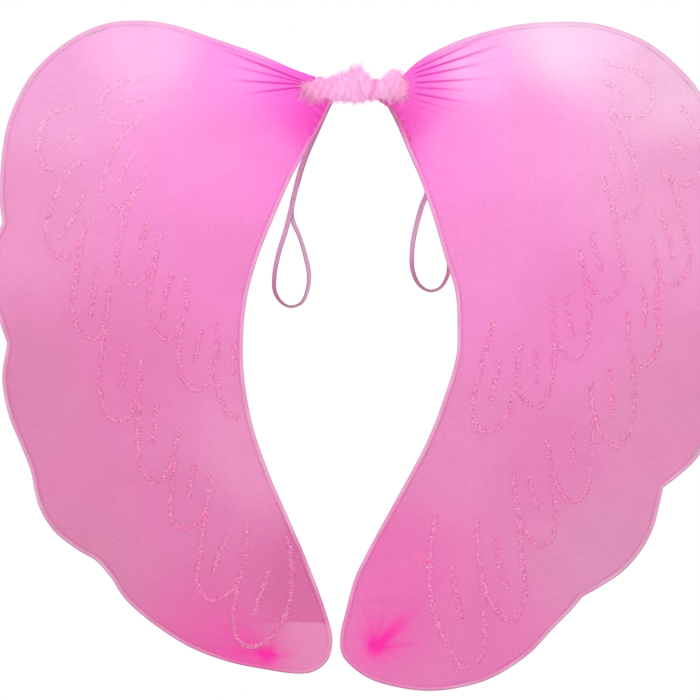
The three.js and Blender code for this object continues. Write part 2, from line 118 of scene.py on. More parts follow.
def length_of(line):
    return float(np.linalg.norm(np.diff(line, axis=0), axis=1).sum())


def tangents(line):
    t = np.gradient(line, axis=0)
    return t / np.linalg.norm(t, axis=1, keepdims=True)


def bow(x):
    """How far in y the wings have swept away from the wearer at x."""
    reach = np.maximum(0, np.abs(x) - BOW_START) / BOW_SPAN
    return -BOW_DEPTH * reach * reach


def smoothstep(a, b, x):
    t = np.clip((x - a) / (b - a), 0, 1)
    return t * t * (3 - 2 * t)


def wobble(x, seed, rate=1.0):
    """A smooth random-looking line between about -1 and 1."""
    phases = np.random.default_rng(seed).uniform(0, 2 * math.pi, 4)
    return sum(np.sin(x * rate * k + p) / k**0.5 for k, p in zip((1.0, 2.3, 4.1, 7.7), phases)) / 2.4


def make_mesh(name, points, faces, material, smooth=True, colours=None, uvs=None):
    """An object from points in millimetres. colours is linear RGB per point, and smooth may be per face."""
    mesh = bpy.data.meshes.new(name)
    mesh.from_pydata((np.asarray(points) * MM).tolist(), [], [list(f) for f in faces])
    work = bmesh.new()
    work.from_mesh(mesh)
    bmesh.ops.recalc_face_normals(work, faces=work.faces)
    work.to_mesh(mesh)
    work.free()
    mesh.polygons.foreach_set("use_smooth", np.broadcast_to(smooth, len(mesh.polygons)).copy())
    if colours is not None:
        layer = mesh.color_attributes.new("dye_and_painted_light", "FLOAT_COLOR", "POINT")
        rgba = np.ones((len(points), 4), np.float32)
        rgba[:, :3] = colours
        layer.data.foreach_set("color", rgba.ravel())
    if uvs is not None:
        layer = mesh.uv_layers.new(name="UVMap")
        loops = np.empty(len(mesh.loops), np.int32)
        mesh.loops.foreach_get("vertex_index", loops)
        layer.data.foreach_set("uv", np.asarray(uvs, np.float32)[loops].ravel())
    mesh.materials.append(material)
    obj = bpy.data.objects.new(name, mesh)
    bpy.context.scene.collection.objects.link(obj)
    return obj


def grid_faces(rows, columns, start=0, close=False):
    """Quads of a rows x columns grid of points; close joins the last column to the first."""
    faces = []
    for i in range(rows - 1):
        for j in range(columns if close else columns - 1):
            k = (j + 1) % columns
            a, b = start + i * columns, start + (i + 1) * columns
            faces.append((a + j, a + k, b + k, b + j))
    return faces


def end_caps(rows, columns):
    """The two faces that close a tube made by grid_faces."""
    return [tuple(range(columns))[::-1], tuple((rows - 1) * columns + k for k in range(columns))]


def sweep(line, section, up):
    """Points and faces of a closed section, (across, up) pairs, carried along a line."""
    t = tangents(line)
    up = np.broadcast_to(np.asarray(up, float), line.shape)
    n = up - (up * t).sum(1, keepdims=True) * t
    n /= np.linalg.norm(n, axis=1, keepdims=True)
    w = np.cross(t, n)
    section = np.broadcast_to(np.asarray(section, float), (len(line),) + np.shape(section)[-2:])
    points = line[:, None] + w[:, None] * section[..., :1] + n[:, None] * section[..., 1:]
    count = section.shape[1]
    return points.reshape(-1, 3), grid_faces(len(line), count, close=True) + end_caps(len(line), count)


def round_section(radius, sides=10):
    a = np.arange(sides) / sides * 2 * math.pi
    return np.stack([radius * np.cos(a), radius * np.sin(a)], axis=1)


def box_mm(node):
    """A node's middle and size in millimetres."""
    low, high = (np.array(corner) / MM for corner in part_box(node))
    return (low + high) / 2, high - low


def join(parts):
    """One (points, faces) from several."""
    points, faces, start = [], [], 0
    for p, f in parts:
        points.append(p)
        faces.extend(tuple(i + start for i in face) for face in f)
        start += len(p)
    return np.vstack(points), faces


def linear(rgb):
    """0-255 display colours to linear."""
    c = np.asarray(rgb, float) / 255
    return np.where(c <= 0.04045, c / 12.92, ((c + 0.055) / 1.055) ** 2.4)


# ---------------------------------------------------------------- materials

class Finish:
    """A material's nodes, with short ways to add procedural textures to them."""

    def __init__(self, name):
        self.material = bpy.data.materials.new(name)
        self.material.use_nodes = True
        self.nodes, self.links = self.material.node_tree.nodes, self.material.node_tree.links

    def texture(self, kind, scale, coord="Object", **settings):
        """A texture's output, on object coordinates in metres or on UVs in millimetres."""
        where = self.nodes.new("ShaderNodeTexCoord")
        node = self.nodes.new(f"ShaderNodeTex{kind}")
        self.links.new(where.outputs[coord], node.inputs["Vector"])
        node.inputs["Scale"].default_value = scale
        for key, value in settings.items():
            if key in node.inputs:
                node.inputs[key].default_value = value
            else:
                setattr(node, key, value)
        return node.outputs["Color" if kind == "Voronoi" else "Fac"]

    def ramp(self, source, low, high, low_at=0.3, high_at=0.7):
        """A texture's output as colours from low to high."""
        node = self.nodes.new("ShaderNodeValToRGB")
        self.links.new(source, node.inputs["Fac"])
        for stop, colour, at in zip(node.color_ramp.elements, (low, high), (low_at, high_at)):
            stop.position = at
            stop.color = (*colour, 1)
        return node.outputs["Color"]

    def shaded(self, colour, source, share, low, high, low_at=0.3, high_at=0.7):
        """A colour multiplied, by a share, with a texture's ramp."""
        node = self.nodes.new("ShaderNodeMix")
        node.data_type = "RGBA"
        node.blend_type = "MULTIPLY"
        node.inputs[0].default_value = share
        self.links.new(colour, node.inputs[6])
        self.links.new(self.ramp(source, low, high, low_at, high_at), node.inputs[7])
        return node.outputs[2]

    def between(self, source, low, high):
        """A texture's output as values from low to high."""
        node = self.nodes.new("ShaderNodeMapRange")
        self.links.new(source, node.inputs["Value"])
        node.inputs["To Min"].default_value = low
        node.inputs["To Max"].default_value = high
        return node.outputs["Result"]

    def bumps(self, *textures):
        """A normal from textures over each other, each (output, strength, distance in metres)."""
        normal = None
        for height, strength, distance in textures:
            node = self.nodes.new("ShaderNodeBump")
            node.inputs["Strength"].default_value = strength
            node.inputs["Distance"].default_value = distance
            self.links.new(height, node.inputs["Height"])
            if normal is not None:
                self.links.new(normal, node.inputs["Normal"])
            normal = node.outputs["Normal"]
        return normal

    def dye_and_painted_light(self):
        """The colour that make_mesh stores at each point: dye together with painted light and shade."""
        node = self.nodes.new("ShaderNodeVertexColor")
        node.layer_name = "dye_and_painted_light"
        return node.outputs["Color"]

    def surface(self, inputs):
        """Sets the shader's inputs, each to a plain value or to an output, and gives the material."""
        sockets = self.nodes["Principled BSDF"].inputs
        for name, value in inputs.items():
            if isinstance(value, bpy.types.NodeSocket):
                self.links.new(value, sockets[name])
            else:
                sockets[name].default_value = value
        return self.material


def knit_material():
    """Sheer stretch knit: dyed colour with painted highlight and shade, fine diagonal stitches, soft sheen.
    """
    knit = Finish("knit_nylon")
    stitches = knit.texture("Wave", 330, bands_direction="DIAGONAL", Distortion=1.4,
                            **{"Detail": 2.0, "Detail Scale": 1.5})
    courses = knit.texture("Wave", 420, bands_direction="Z", Distortion=0.8)
    cloud = knit.texture("Noise", 38, Detail=4.0, Roughness=0.6)
    grain = knit.texture("Noise", 900, Detail=2.0, Roughness=0.7)
    colour = knit.shaded(knit.dye_and_painted_light(), stitches, 0.6, (0.93, 0.90, 0.93), (1.0, 1.0, 1.0), 0.1, 0.75)
    colour = knit.shaded(colour, grain, 0.55, (0.86, 0.82, 0.86), (1.06, 1.08, 1.06), 0.32, 0.68)
    colour = knit.shaded(colour, cloud, 0.6, (0.96, 0.93, 0.95), (1.02, 1.03, 1.02), 0.35, 0.68)
    return knit.surface({
        "Base Color": colour, "Roughness": knit.between(grain, 0.55, 0.75), "Specular IOR Level": 0.28,
        "Sheen Weight": 0.12, "Sheen Roughness": 0.45, "Sheen Tint": (1.0, 0.72, 0.88, 1),
        "Normal": knit.bumps((stitches, 0.35, 0.00025), (courses, 0.25, 0.0002), (grain, 0.3, 0.0002))})


def glue_material():
    """Dried glitter glue: cloudy clear pink with a wet-looking coat."""
    glue = Finish("glitter_glue")
    lumps = glue.texture("Noise", 700, Detail=3.0, Roughness=0.65)
    # Painted sparkle: small cells of the glue are lighter and darker.
    painted_sparks = glue.texture("Voronoi", 1500)
    colour = glue.shaded(glue.dye_and_painted_light(), painted_sparks, 0.5, (0.84, 0.72, 0.80), (1.10, 1.14, 1.12), 0.2, 0.9)
    return glue.surface({
        "Base Color": colour, "Roughness": glue.between(lumps, 0.22, 0.5),
        "Coat Weight": 0.35, "Coat Roughness": 0.2, "Normal": glue.bumps((lumps, 0.35, 0.0003))})


def flake_material():
    flake = Finish("glitter_flakes")
    scratches = flake.texture("Noise", 2500, Detail=1.0)
    colour = flake.shaded(flake.dye_and_painted_light(), scratches, 0.6, (0.85, 0.85, 0.85), (1.0, 1.0, 1.0))
    return flake.surface({
        "Base Color": colour, "Roughness": flake.between(scratches, 0.18, 0.34), "Coat Weight": 0.3})


def fur_material():
    """Fine fibres: the colour that each was given, broken up a little, under a soft sheen."""
    fur = Finish("marabou_fur")
    strands = fur.texture("Noise", 600, Detail=3.0, Roughness=0.7)
    colour = fur.shaded(fur.dye_and_painted_light(), strands, 0.8, (0.94, 0.91, 0.94), (1.06, 1.08, 1.06))
    return fur.surface({
        "Base Color": colour, "Roughness": fur.between(strands, 0.65, 0.9), "Specular IOR Level": 0.2,
        "Sheen Weight": 0.5, "Sheen Roughness": 0.5, "Sheen Tint": (1.0, 0.78, 0.92, 1)})


def elastic_material():
    """Flat woven elastic: lengthwise cords crossed by a fine weft."""
    elastic = Finish("flat_elastic")
    cords = elastic.texture("Wave", 1.0, coord="UV", bands_direction="X")
    weft = elastic.texture("Wave", 1.35, coord="UV", bands_direction="Y", Distortion=0.6)
    dust = elastic.texture("Noise", 450, Detail=3.0)
    colour = elastic.shaded(elastic.dye_and_painted_light(), cords, 0.6, (0.80, 0.76, 0.79), (1.0, 1.0, 1.0), 0.2, 0.8)
    colour = elastic.shaded(colour, weft, 0.6, (0.88, 0.85, 0.88), (1.03, 1.03, 1.03), 0.2, 0.8)
    colour = elastic.shaded(colour, dust, 0.6, (0.90, 0.88, 0.90), (1.08, 1.08, 1.08), 0.35, 0.65)
    return elastic.surface({
        "Base Color": colour, "Roughness": elastic.between(dust, 0.7, 0.9), "Sheen Weight": 0.15,
        "Normal": elastic.bumps((cords, 0.5, 0.0002), (weft, 0.4, 0.00015))})


def thread_material():
    thread = Finish("sewing_thread")
    twist = thread.texture("Wave", 1400, bands_direction="DIAGONAL", Distortion=1.0)
    fuzz = thread.texture("Noise", 1800, Detail=2.0)
    return thread.surface({
        "Base Color": thread.ramp(twist, linear((226, 96, 170)), linear((252, 168, 214))),
        "Roughness": thread.between(fuzz, 0.5, 0.75), "Normal": thread.bumps((twist, 0.5, 0.0001))})


def tape_material():
    tape = Finish("cloth_tape")
    warp = tape.texture("Wave", 900, bands_direction="X", Distortion=0.5)
    creases = tape.texture("Noise", 160, Detail=5.0, Distortion=0.8)
    return tape.surface({
        "Base Color": tape.ramp(creases, linear((205, 186, 196)), linear((242, 230, 237))),
        "Roughness": tape.between(creases, 0.5, 0.7),
        "Normal": tape.bumps((warp, 0.3, 0.0001), (creases, 0.5, 0.0006))})


def wire_material():
    wire = Finish("steel_wire")
    drawn = wire.texture("Noise", 300, Detail=4.0, Roughness=0.6)
    tarnish = wire.texture("Noise", 60, Detail=5.0, Roughness=0.7)
    return wire.surface({
        "Base Color": wire.ramp(tarnish, (0.36, 0.35, 0.34), (0.62, 0.63, 0.65)), "Metallic": 1.0,
        "Roughness": wire.between(drawn, 0.25, 0.5), "Normal": wire.bumps((drawn, 0.2, 0.0002))})


# ---------------------------------------------------------------- camera, lights and stage

VIEW_WIDTH = 0.574          # metres across the picture, in the plane of the wings
VIEW_CENTRE = (-0.0082, -0.2157)
CAMERA_DISTANCE = 2.6
SENSOR_WIDTH = 36
FLOOR_HALF = 1.1
FLOOR_DROP = 0.25           # from the lowest point of the wings down to the floor


def add_camera():
    data = bpy.data.cameras.new("camera")
    data.sensor_width = SENSOR_WIDTH
    data.lens = SENSOR_WIDTH * CAMERA_DISTANCE / VIEW_WIDTH
    data.clip_end = 50
    camera = bpy.data.objects.new("camera", data)
    camera.location = (VIEW_CENTRE[0], PLANE_Y * MM - CAMERA_DISTANCE, VIEW_CENTRE[1])
    camera.rotation_euler = (math.radians(90), 0, 0)
    bpy.context.scene.collection.objects.link(camera)
    bpy.context.scene.camera = camera


def add_area_light(name, location, target, size, power):
    data = bpy.data.lights.new(name, "AREA")
    data.shape = "DISK"
    data.size = size
    data.energy = power
    light = bpy.data.objects.new(name, data)
    light.location = location
    direction = Vector(target) - Vector(location)
    light.rotation_euler = direction.to_track_quat("-Z", "Y").to_euler()
    bpy.context.scene.collection.objects.link(light)


def add_stage():
    scene = bpy.context.scene
    scene.view_settings.view_transform = "Standard"
    world = bpy.data.worlds.new("studio")
    world.use_nodes = True
    background = world.node_tree.nodes["Background"]
    background.inputs["Color"].default_value = (1, 1, 1, 1)
    background.inputs["Strength"].default_value = 1.0
    scene.world = world
    middle = (0, 0, -0.2)
    add_area_light("key_light", (-1.1, -2.0, 0.9), middle, 1.2, 6.5)
    add_area_light("fill_light", (1.4, -1.8, 0.3), middle, 1.5, 3)
    add_area_light("back_light", (0.3, 2.0, 0.9), middle, 1.5, 8)
    half, below = FLOOR_HALF, cad_box[0][2] - FLOOR_DROP
    corners = np.array([(x * half, y * half, below) for x, y in ((-1, -1), (1, -1), (1, 1), (-1, 1))])
    paint = Finish("floor_paint").surface({"Base Color": (0.86, 0.86, 0.86, 1), "Roughness": 0.9})
    make_mesh("floor", corners / MM, [(0, 1, 2, 3)], paint, smooth=False)


# ---------------------------------------------------------------- arm elastics

ELASTIC_WIDTH = 4.0
ELASTIC_STEPS = 340
ELASTIC_ROUTES = {
    "left": [
        (-24.5, -5.4, -10.9), (-28, -3, -18), (-34, 0, -31), (-45, 1.6, -56), (-50.5, 1.8, -73),
        (-57.5, 2, -103), (-62, 2.2, -120), (-66.5, 2.4, -134), (-70.5, 2.6, -154), (-70, 2.8, -168),
        (-64, 3, -177), (-57, 3.2, -180), (-48.5, 3.4, -177), (-43.5, 3.6, -167), (-42, 3.8, -154),
        (-45, 4, -138), (-49.5, 4.2, -123), (-56.5, 4.5, -104), (-50, 4.5, -73), (-44.5, 4.3, -56),
        (-33.5, 3, -31), (-27.5, 0.3, -18), (-24, -2.6, -10.9)],
    "right": [
        (22.5, -5.4, -10.9), (27, -3, -19), (34, 0, -33), (42, 1.4, -52), (50, 1.8, -70), (55.5, 2, -84),
        (51, 2.2, -97), (46.5, 2.4, -113), (43.2, 2.6, -131), (43.5, 2.8, -150), (49, 3, -162),
        (57.5, 3.2, -167), (66, 3.4, -164.5), (72, 3.6, -155), (73.5, 3.8, -142), (70, 4, -120),
        (63.5, 4.2, -101), (56, 4.5, -84), (50, 4.5, -70), (42, 4.3, -52), (34, 3, -33), (27, 0.3, -19),
        (22.3, -2.6, -10.9)],
}
# How the band twists round its loop: share of its length, and the turn from facing front in radians.
ELASTIC_TWIST = [(0.0, 0.0), (0.28, 0.0), (0.36, 0.35), (0.43, 0.6), (0.5, 1.3), (0.56, 0.75), (0.62, 0.45),
                 (0.67, 0.95), (0.72, 0.2), (0.76, 0.0), (1.0, 0.0)]
ELASTIC_FACE = linear((228, 172, 204))
ELASTIC_EDGE = linear((176, 98, 142))
ELASTIC_LOOP_DARK = linear((186, 96, 142))


def ribbon_section(width):
    """A flat band with a slightly raised cord along each edge."""
    half, edge = width / 2, 0.42
    right = [(0.5, 0.24), (half - 0.95, 0.28), (half - 0.5, edge), (half - 0.12, 0.38), (half, 0.0)]
    top = [(-x, y) for x, y in right][::-1] + right
    bottom = [(x, -y) for x, y in top[1:-1]][::-1]
    return np.array(top + bottom)


def add_elastic(side, material):
    route = catmull_rom(ELASTIC_ROUTES[side])
    length = length_of(route)
    line = resample(route, ELASTIC_STEPS)
    along = np.linspace(0, length, len(line))
    t = tangents(line)
    turn = np.interp(along / length, *np.array(ELASTIC_TWIST).T)
    turn = np.convolve(np.pad(turn, 8, mode="edge"), np.ones(17) / 17, mode="valid")
    across = np.cross(t, (0, 1, 0))
    up = np.array((0, 1, 0)) * np.cos(turn)[:, None] + across * np.sin(turn)[:, None]
    section = ribbon_section(ELASTIC_WIDTH)
    points, faces = sweep(line, section, up)
    edge = (np.abs(section[:, 0]) > ELASTIC_WIDTH / 2 - 0.45)[None, :, None]
    # The band is darker round the bottom of its loop, where it twists.
    loop_dark = (0.75 * np.exp(-(((along / length - 0.46) / 0.07) ** 2)))[:, None, None]
    face = ELASTIC_FACE * (1 - loop_dark) + ELASTIC_LOOP_DARK * loop_dark
    colours = np.where(edge, ELASTIC_EDGE, face).reshape(-1, 3)
    uv = np.stack([np.tile(section[:, 0], len(line)), np.repeat(along, len(section))], axis=1)
    piece = make_mesh(f"{side}_elastic_band", points, faces, material, colours=colours, uvs=uv)
    return piece, route, length


def add_elastic_tie(side, material):
    """Two turns of the elastic round the bound core, and the knot that holds them."""
    middle, size = box_mm(f"{side}_elastic_tie")
    turns = 1.9
    a = np.linspace(0, turns * 2 * math.pi, 120)
    radius = size[2] / 2 - 0.45 + 0.25 * np.linspace(-1, 0.4, len(a))
    drift = np.linspace(-0.35, 0.35, len(a))
    coil = np.stack([drift, radius * np.cos(a), radius * np.sin(a)], axis=1)
    section = ribbon_section(ELASTIC_WIDTH - 0.9) * (1, 0.8)
    points, faces = sweep(middle + coil, section, coil * (0, 1, 1))
    colours = np.tile(ELASTIC_FACE * 0.92, (len(points), 1))
    tie = make_mesh(f"{side}_elastic_wrap", points, faces, material, colours=colours,
                    uvs=np.stack([points[:, 0], a.repeat(len(section)) * 6], axis=1))

    middle, size = box_mm(f"{side}_elastic_knot")
    s = np.linspace(0, 2 * math.pi, 150, endpoint=True)
    trefoil = [np.sin(s) + 2 * np.sin(2 * s), np.cos(s) - 2 * np.cos(2 * s), -np.sin(3 * s)]
    trefoil = np.stack(trefoil, axis=1)
    line = middle + trefoil / (3.0, 3.0, 1.6) * (size / 2 - 0.75)
    points, faces = sweep(line, round_section(0.85, 9) * (1.0, 0.75), trefoil)
    shade = 0.85 + 0.15 * wobble(np.linspace(0, 9, len(points)), 4)
    knot = make_mesh(f"{side}_elastic_hitch", points, faces, material, colours=ELASTIC_FACE * shade[:, None],
                     uvs=np.stack([points[:, 0], points[:, 2]], axis=1))
    return tie, knot


def add_arm_loops(material):
    for side in SIDES:
        band, route, length = add_elastic(side, material)
        tie, knot = add_elastic_tie(side, material)
        for piece, node in ((band, "arm_elastic"), (tie, "elastic_tie"), (knot, "elastic_knot")):
            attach(piece, f"{side}_arm_loop")
            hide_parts(f"{side}_{node}")


# ---------------------------------------------------------------- covers

OUTLINES = {
    "left": {
        "lobes": [
            (66, [(-37, 6.2), (-56, 13), (-81, 24), (-118, 37), (-155, 49), (-183, 52), (-209, 49),
                  (-235, 37), (-263, 13), (-278, -11), (-287, -36), (-291, -64), (-292, -93),
                  (-290, -112)]),
            (24, [(-290, -112), (-297, -128), (-301, -148), (-298, -172), (-292, -192), (-286, -210)]),
            (30, [(-286, -210), (-290, -239), (-285, -268), (-275, -293), (-267, -314), (-264, -330)]),
            (24, [(-264, -330), (-260, -344), (-248, -363), (-229, -378), (-214, -387), (-202, -401)]),
            (90, [(-202, -401), (-190, -419), (-167, -439), (-139, -457), (-108, -469), (-80, -475),
                  (-50, -479)]),
        ],
        "tip": [(-50, -479), (-38, -477), (-29, -470), (-25.5, -461), (-25, -450)],
        "inner": [(-25, -450), (-31, -428), (-44, -393), (-58, -360), (-76, -319), (-90, -278), (-97, -239),
                  (-98, -207), (-95, -174), (-87, -143), (-73, -107), (-57, -71), (-44, -47), (-35, -25),
                  (-37, -9)],
    },
    "right": {
        "lobes": [
            (66, [(35, 6.2), (46, 17), (58, 25), (84, 37), (107, 44), (131, 49), (162, 51), (195, 49),
                  (229, 37), (247, 25), (260, 13), (271, 1), (280, -14), (288, -34), (293, -60), (296, -89),
                  (294, -112)]),
            (24, [(294, -112), (301, -130), (304, -150), (302, -174), (295, -192), (289, -207)]),
            (30, [(289, -207), (292, -234), (290, -260), (283, -285), (275, -301), (260, -316),
                  (246, -327)]),
            (24, [(246, -327), (242, -345), (238, -360), (228, -379), (214, -395), (200, -405),
                  (181, -416)]),
            (90, [(181, -416), (171, -428), (159, -440), (136, -464), (106, -483), (78, -491), (53, -493),
                  (26, -489)]),
        ],
        "tip": [(26, -489), (8, -483), (-6, -473), (-13, -464), (-14, -450)],
        "inner": [(-14, -450), (-10, -432), (-2, -403), (15, -369), (36, -331), (57, -291), (71, -255),
                  (81, -221), (82, -195), (80, -166), (72, -140), (62, -106), (50, -71), (39, -45),
                  (33, -24), (35, -9)],
    },
}
COVER_COLUMNS = 144
RIM_SEGMENTS = 12
TIP_ROWS = 60          # rows over which the lines across the wing bend into the curve of the tip

# The knit pales and dulls as it stretches, and the zones also carry painted light, paler towards the top and
# darker low down: each zone's middle [x, z] and its display colour.
DYE_AND_PAINTED_LIGHT = {
    "left": {
        "by_the_fur": ((-50, 5), (255, 108, 228)),
        "neck": ((-38, -24), (247, 70, 192)),
        "lower_neck": ((-78, -58), (253, 136, 217)),
        "shoulder": ((-97, 20), (255, 153, 234)),
        "crest": ((-172, 34), (255, 186, 233)),
        "outer_crest": ((-260, -10), (240, 164, 212)),
        "upper_middle": ((-110, -60), (250, 148, 215)),
        "outer_side": ((-275, -100), (235, 148, 196)),
        "inner_side": ((-105, -150), (238, 134, 197)),
        "middle": ((-190, -230), (228, 126, 180)),
        "outer_lobe": ((-265, -250), (217, 130, 173)),
        "inner_waist": ((-90, -300), (230, 144, 190)),
        "lower_middle": ((-150, -350), (223, 124, 176)),
        "lower_outer": ((-215, -385), (215, 128, 170)),
        "lower_inner": ((-45, -410), (214, 106, 160)),
        "toe": ((-120, -440), (222, 110, 168)),
    },
    "right": {
        "by_the_fur": ((48, 8), (254, 108, 218)),
        "neck": ((38, -25), (244, 80, 192)),
        "lower_neck": ((74, -44), (254, 146, 224)),
        "shoulder": ((88, 17), (255, 182, 243)),
        "crest": ((165, 37), (254, 212, 242)),
        "outer_crest": ((265, 0), (243, 188, 220)),
        "upper_middle": ((140, -30), (250, 153, 216)),
        "outer_side": ((260, -80), (236, 156, 200)),
        "inner_side": ((100, -140), (244, 141, 206)),
        "middle": ((165, -190), (235, 133, 195)),
        "outer_lobe": ((255, -260), (222, 138, 180)),
        "inner_waist": ((75, -300), (229, 136, 186)),
        "lower_middle": ((150, -310), (226, 128, 182)),
        "lower_outer": ((200, -375), (219, 142, 181)),
        "lower_inner": ((30, -395), (233, 114, 180)),
        "toe": ((90, -460), (226, 120, 178)),
    },
}
ZONE_SPREAD = 18.0     # how soft the change from one zone to the next is
HOT_PINK = linear((250, 34, 166))
GATHER_PINK = linear((226, 40, 172))
NECK_PINK = linear((250, 84, 200))
RIM_PALE = linear((236, 184, 214))
TOE_PINK = linear((232, 143, 188))

# Folds that run out from each gather: angle above the outward direction, length, depth.
GATHER_FOLDS = {
    "left": [(22, 92, 1.3), (14, 80, 0.9), (4, 78, 1.3), (-7, 66, 1.2), (9, 44, 0.4), (-17, 40, 0.5),
             (-33, 34, 0.3)],
    "right": [(31, 84, 1.0), (23, 92, 1.3), (15.5, 80, 1.1), (5, 76, 1.2), (-4, 60, 0.9), (-15, 60, 1.1),
              (-27, 46, 0.5), (-42, 34, 0.3)],
}
GATHER_FAN = {"left": 3.0, "right": 20.0}     # the height over which the folds start
# Where the covers are tied off, how far the hot pink spreads, and its longer streaks (angle, length, depth).
TIP_KNOTS = {
    "left": {"at": (-76, -466), "spread": 12,
             "streaks": [(172, 60, 0.5), (158, 50, 0.4), (140, 40, 0.3), (0, 34, 0.5), (62, 26, 0.3)]},
    "right": {"at": (12.5, -460.5), "spread": 9.5,
              "streaks": [(50, 56, 0.9), (42, 60, 1.1), (35, 44, 0.7), (60, 40, 0.6), (6, 46, 0.6),
                          (13, 34, 0.4), (136, 24, 0.7), (120, 30, 0.5), (105, 34, 0.5), (92, 34, 0.5),
                          (78, 36, 0.5), (-22, 20, 0.4), (164, 14, 0.4)]},
}
TOE_BAND_Z = {"left": -439, "right": -422}     # where the colour changes above its tied end


def pushed_out(line, outward):
    """A line of the cover's edge, moved off the middle of the wire."""
    t = np.gradient(line, axis=0)
    t /= np.linalg.norm(t, axis=1, keepdims=True)
    return line - np.stack([t[:, 1], -t[:, 0]], axis=1) * outward * RIM_SHIFT


def wing_boundary(side):
    """Points [x, z] along the cover's outer side, its tip, and its inner side up to the neck."""
    outline = OUTLINES[side]
    *upper_lobes, (steps, last_lobe) = outline["lobes"]
    pieces = [resample(catmull_rom(points), count + 1)[:-1] for count, points in upper_lobes]
    # The last lobe, the tip and the inner side are one smooth bend.
    bend = catmull_rom(last_lobe + outline["tip"][1:] + outline["inner"][1:])
    tip_from = SPAN_STEPS * (len(last_lobe) - 1)
    tip_to = tip_from + SPAN_STEPS * (len(outline["tip"]) - 1)
    outer = np.vstack(pieces + [resample(bend[:tip_from + 1], steps + 1)])
    tip = resample(bend[tip_from:tip_to + 1], COVER_COLUMNS + 1)
    inner = resample(bend[tip_to:], len(outer))
    whole = pushed_out(np.vstack([outer, tip[1:-1], inner]), SIDES[side])
    rows = len(outer)
    return whole[:rows], whole[rows - 1:len(whole) - rows + 1], whole[-rows:]


def rim_tree(side):
    outer, tip, inner = wing_boundary(side)
    line = np.vstack([outer, tip[1:-1], inner])
    line = resample(line, int(length_of(line) / 0.5))
    tree = KDTree(len(line))
    for i, (x, z) in enumerate(line):
        tree.insert((x, z, 0), i)
    tree.balance()
    return tree


RIM_TREES = {side: rim_tree(side) for side in OUTLINES}


def distance_to_rim(side, xz):
    return np.array([RIM_TREES[side].find((x, z, 0))[2] for x, z in xz])


def sag(xz, rim_distance):
    """How far the stretched cover lies off the plane of the wire, in slow waves."""
    wave = np.sin(xz[:, 0] * 0.045 + xz[:, 1] * 0.03) + np.sin(xz[:, 1] * 0.05 - xz[:, 0] * 0.018)
    return 0.4 * wave * smoothstep(5, 40, rim_distance)


def cover_front(side, xz):
    """The y of the cover's front face at points [x, z] on its flat."""
    return PLANE_Y + bow(xz[:, 0]) + sag(xz, distance_to_rim(side, xz)) - LAYER_HALF


def dye_and_painted_light_field(side, xz):
    """The knit's linear colour at each point, with its painted light, blended from the zones above."""
    at = np.array([p for p, _ in DYE_AND_PAINTED_LIGHT[side].values()], float)
    colours = linear([c for _, c in DYE_AND_PAINTED_LIGHT[side].values()])
    distance2 = ((xz[:, None] - at[None]) ** 2).sum(2)
    weight = 1 / (distance2 + ZONE_SPREAD**2) ** 1.6
    return (weight @ colours) / weight.sum(1, keepdims=True)


def fold_field(xz, focus, outward, folds, width, spread, begin=(4, 11), fan=0.0):
    """How deep each point lies in folds (angle, reach, depth) that run out from a focus, widening as they go.

    With a fan, the folds start side by side over that height instead of at one point."""
    offset = (xz - focus) * (outward, 1)
    depth = np.zeros(len(xz))
    for angle, reach, deep in folds:
        a = math.radians(angle)
        start = np.array((0, fan * math.sin(a)))
        way = reach * np.array((math.cos(a), math.sin(a))) - start
        way /= np.linalg.norm(way)
        forward = (offset - start) @ way
        aside = (offset - start) @ np.array((-way[1], way[0]))
        wide = width + spread * np.maximum(forward, 0)
        fade = smoothstep(*begin, forward) * (1 - smoothstep(0.3 * reach, reach, forward))
        depth += deep * fade * np.exp(-((aside / wide) ** 2))
    return depth


def gather_focus(side):
    """The point [x, z] that the folds of the gather run to."""
    return np.array((HINGE_X[side] + 10 * SIDES[side], 1.0))


def gather_bunch(side, xz):
    """How much thicker the cover is where it is gathered."""
    return 1.5 * np.exp(-((np.linalg.norm(xz - gather_focus(side), axis=1) / 30) ** 2))


def gather_marks(side, xz):
    """How deep each point lies in the gather's long folds and in its fine ones."""
    focus = gather_focus(side)
    fine = [(a, 22 + 7 * math.sin(a), 0.2) for a in range(-66, -20, 8)]
    return (fold_field(xz, focus, SIDES[side], GATHER_FOLDS[side], 0.5, 0.011, fan=GATHER_FAN[side]),
            fold_field(xz, focus, SIDES[side], fine, 0.35, 0.016))


def tie_marks(side, xz):
    """Each point's offset and distance from the tied end, and how far it lies in the rays and streaks."""
    centre = np.array(TIP_KNOTS[side]["at"], float)
    offset = xz - centre
    angle = np.arctan2(offset[:, 1], offset[:, 0])
    rays = 0.5 + 0.5 * np.cos(angle * 17 + 2.2 * np.sin(angle * 3) + 1.3 * np.sin(angle * 5 + 1))
    streaks = fold_field(xz, centre, 1, TIP_KNOTS[side]["streaks"], 1.3, 0.05, (0, 5))
    return offset, np.linalg.norm(offset, axis=1), rays, streaks


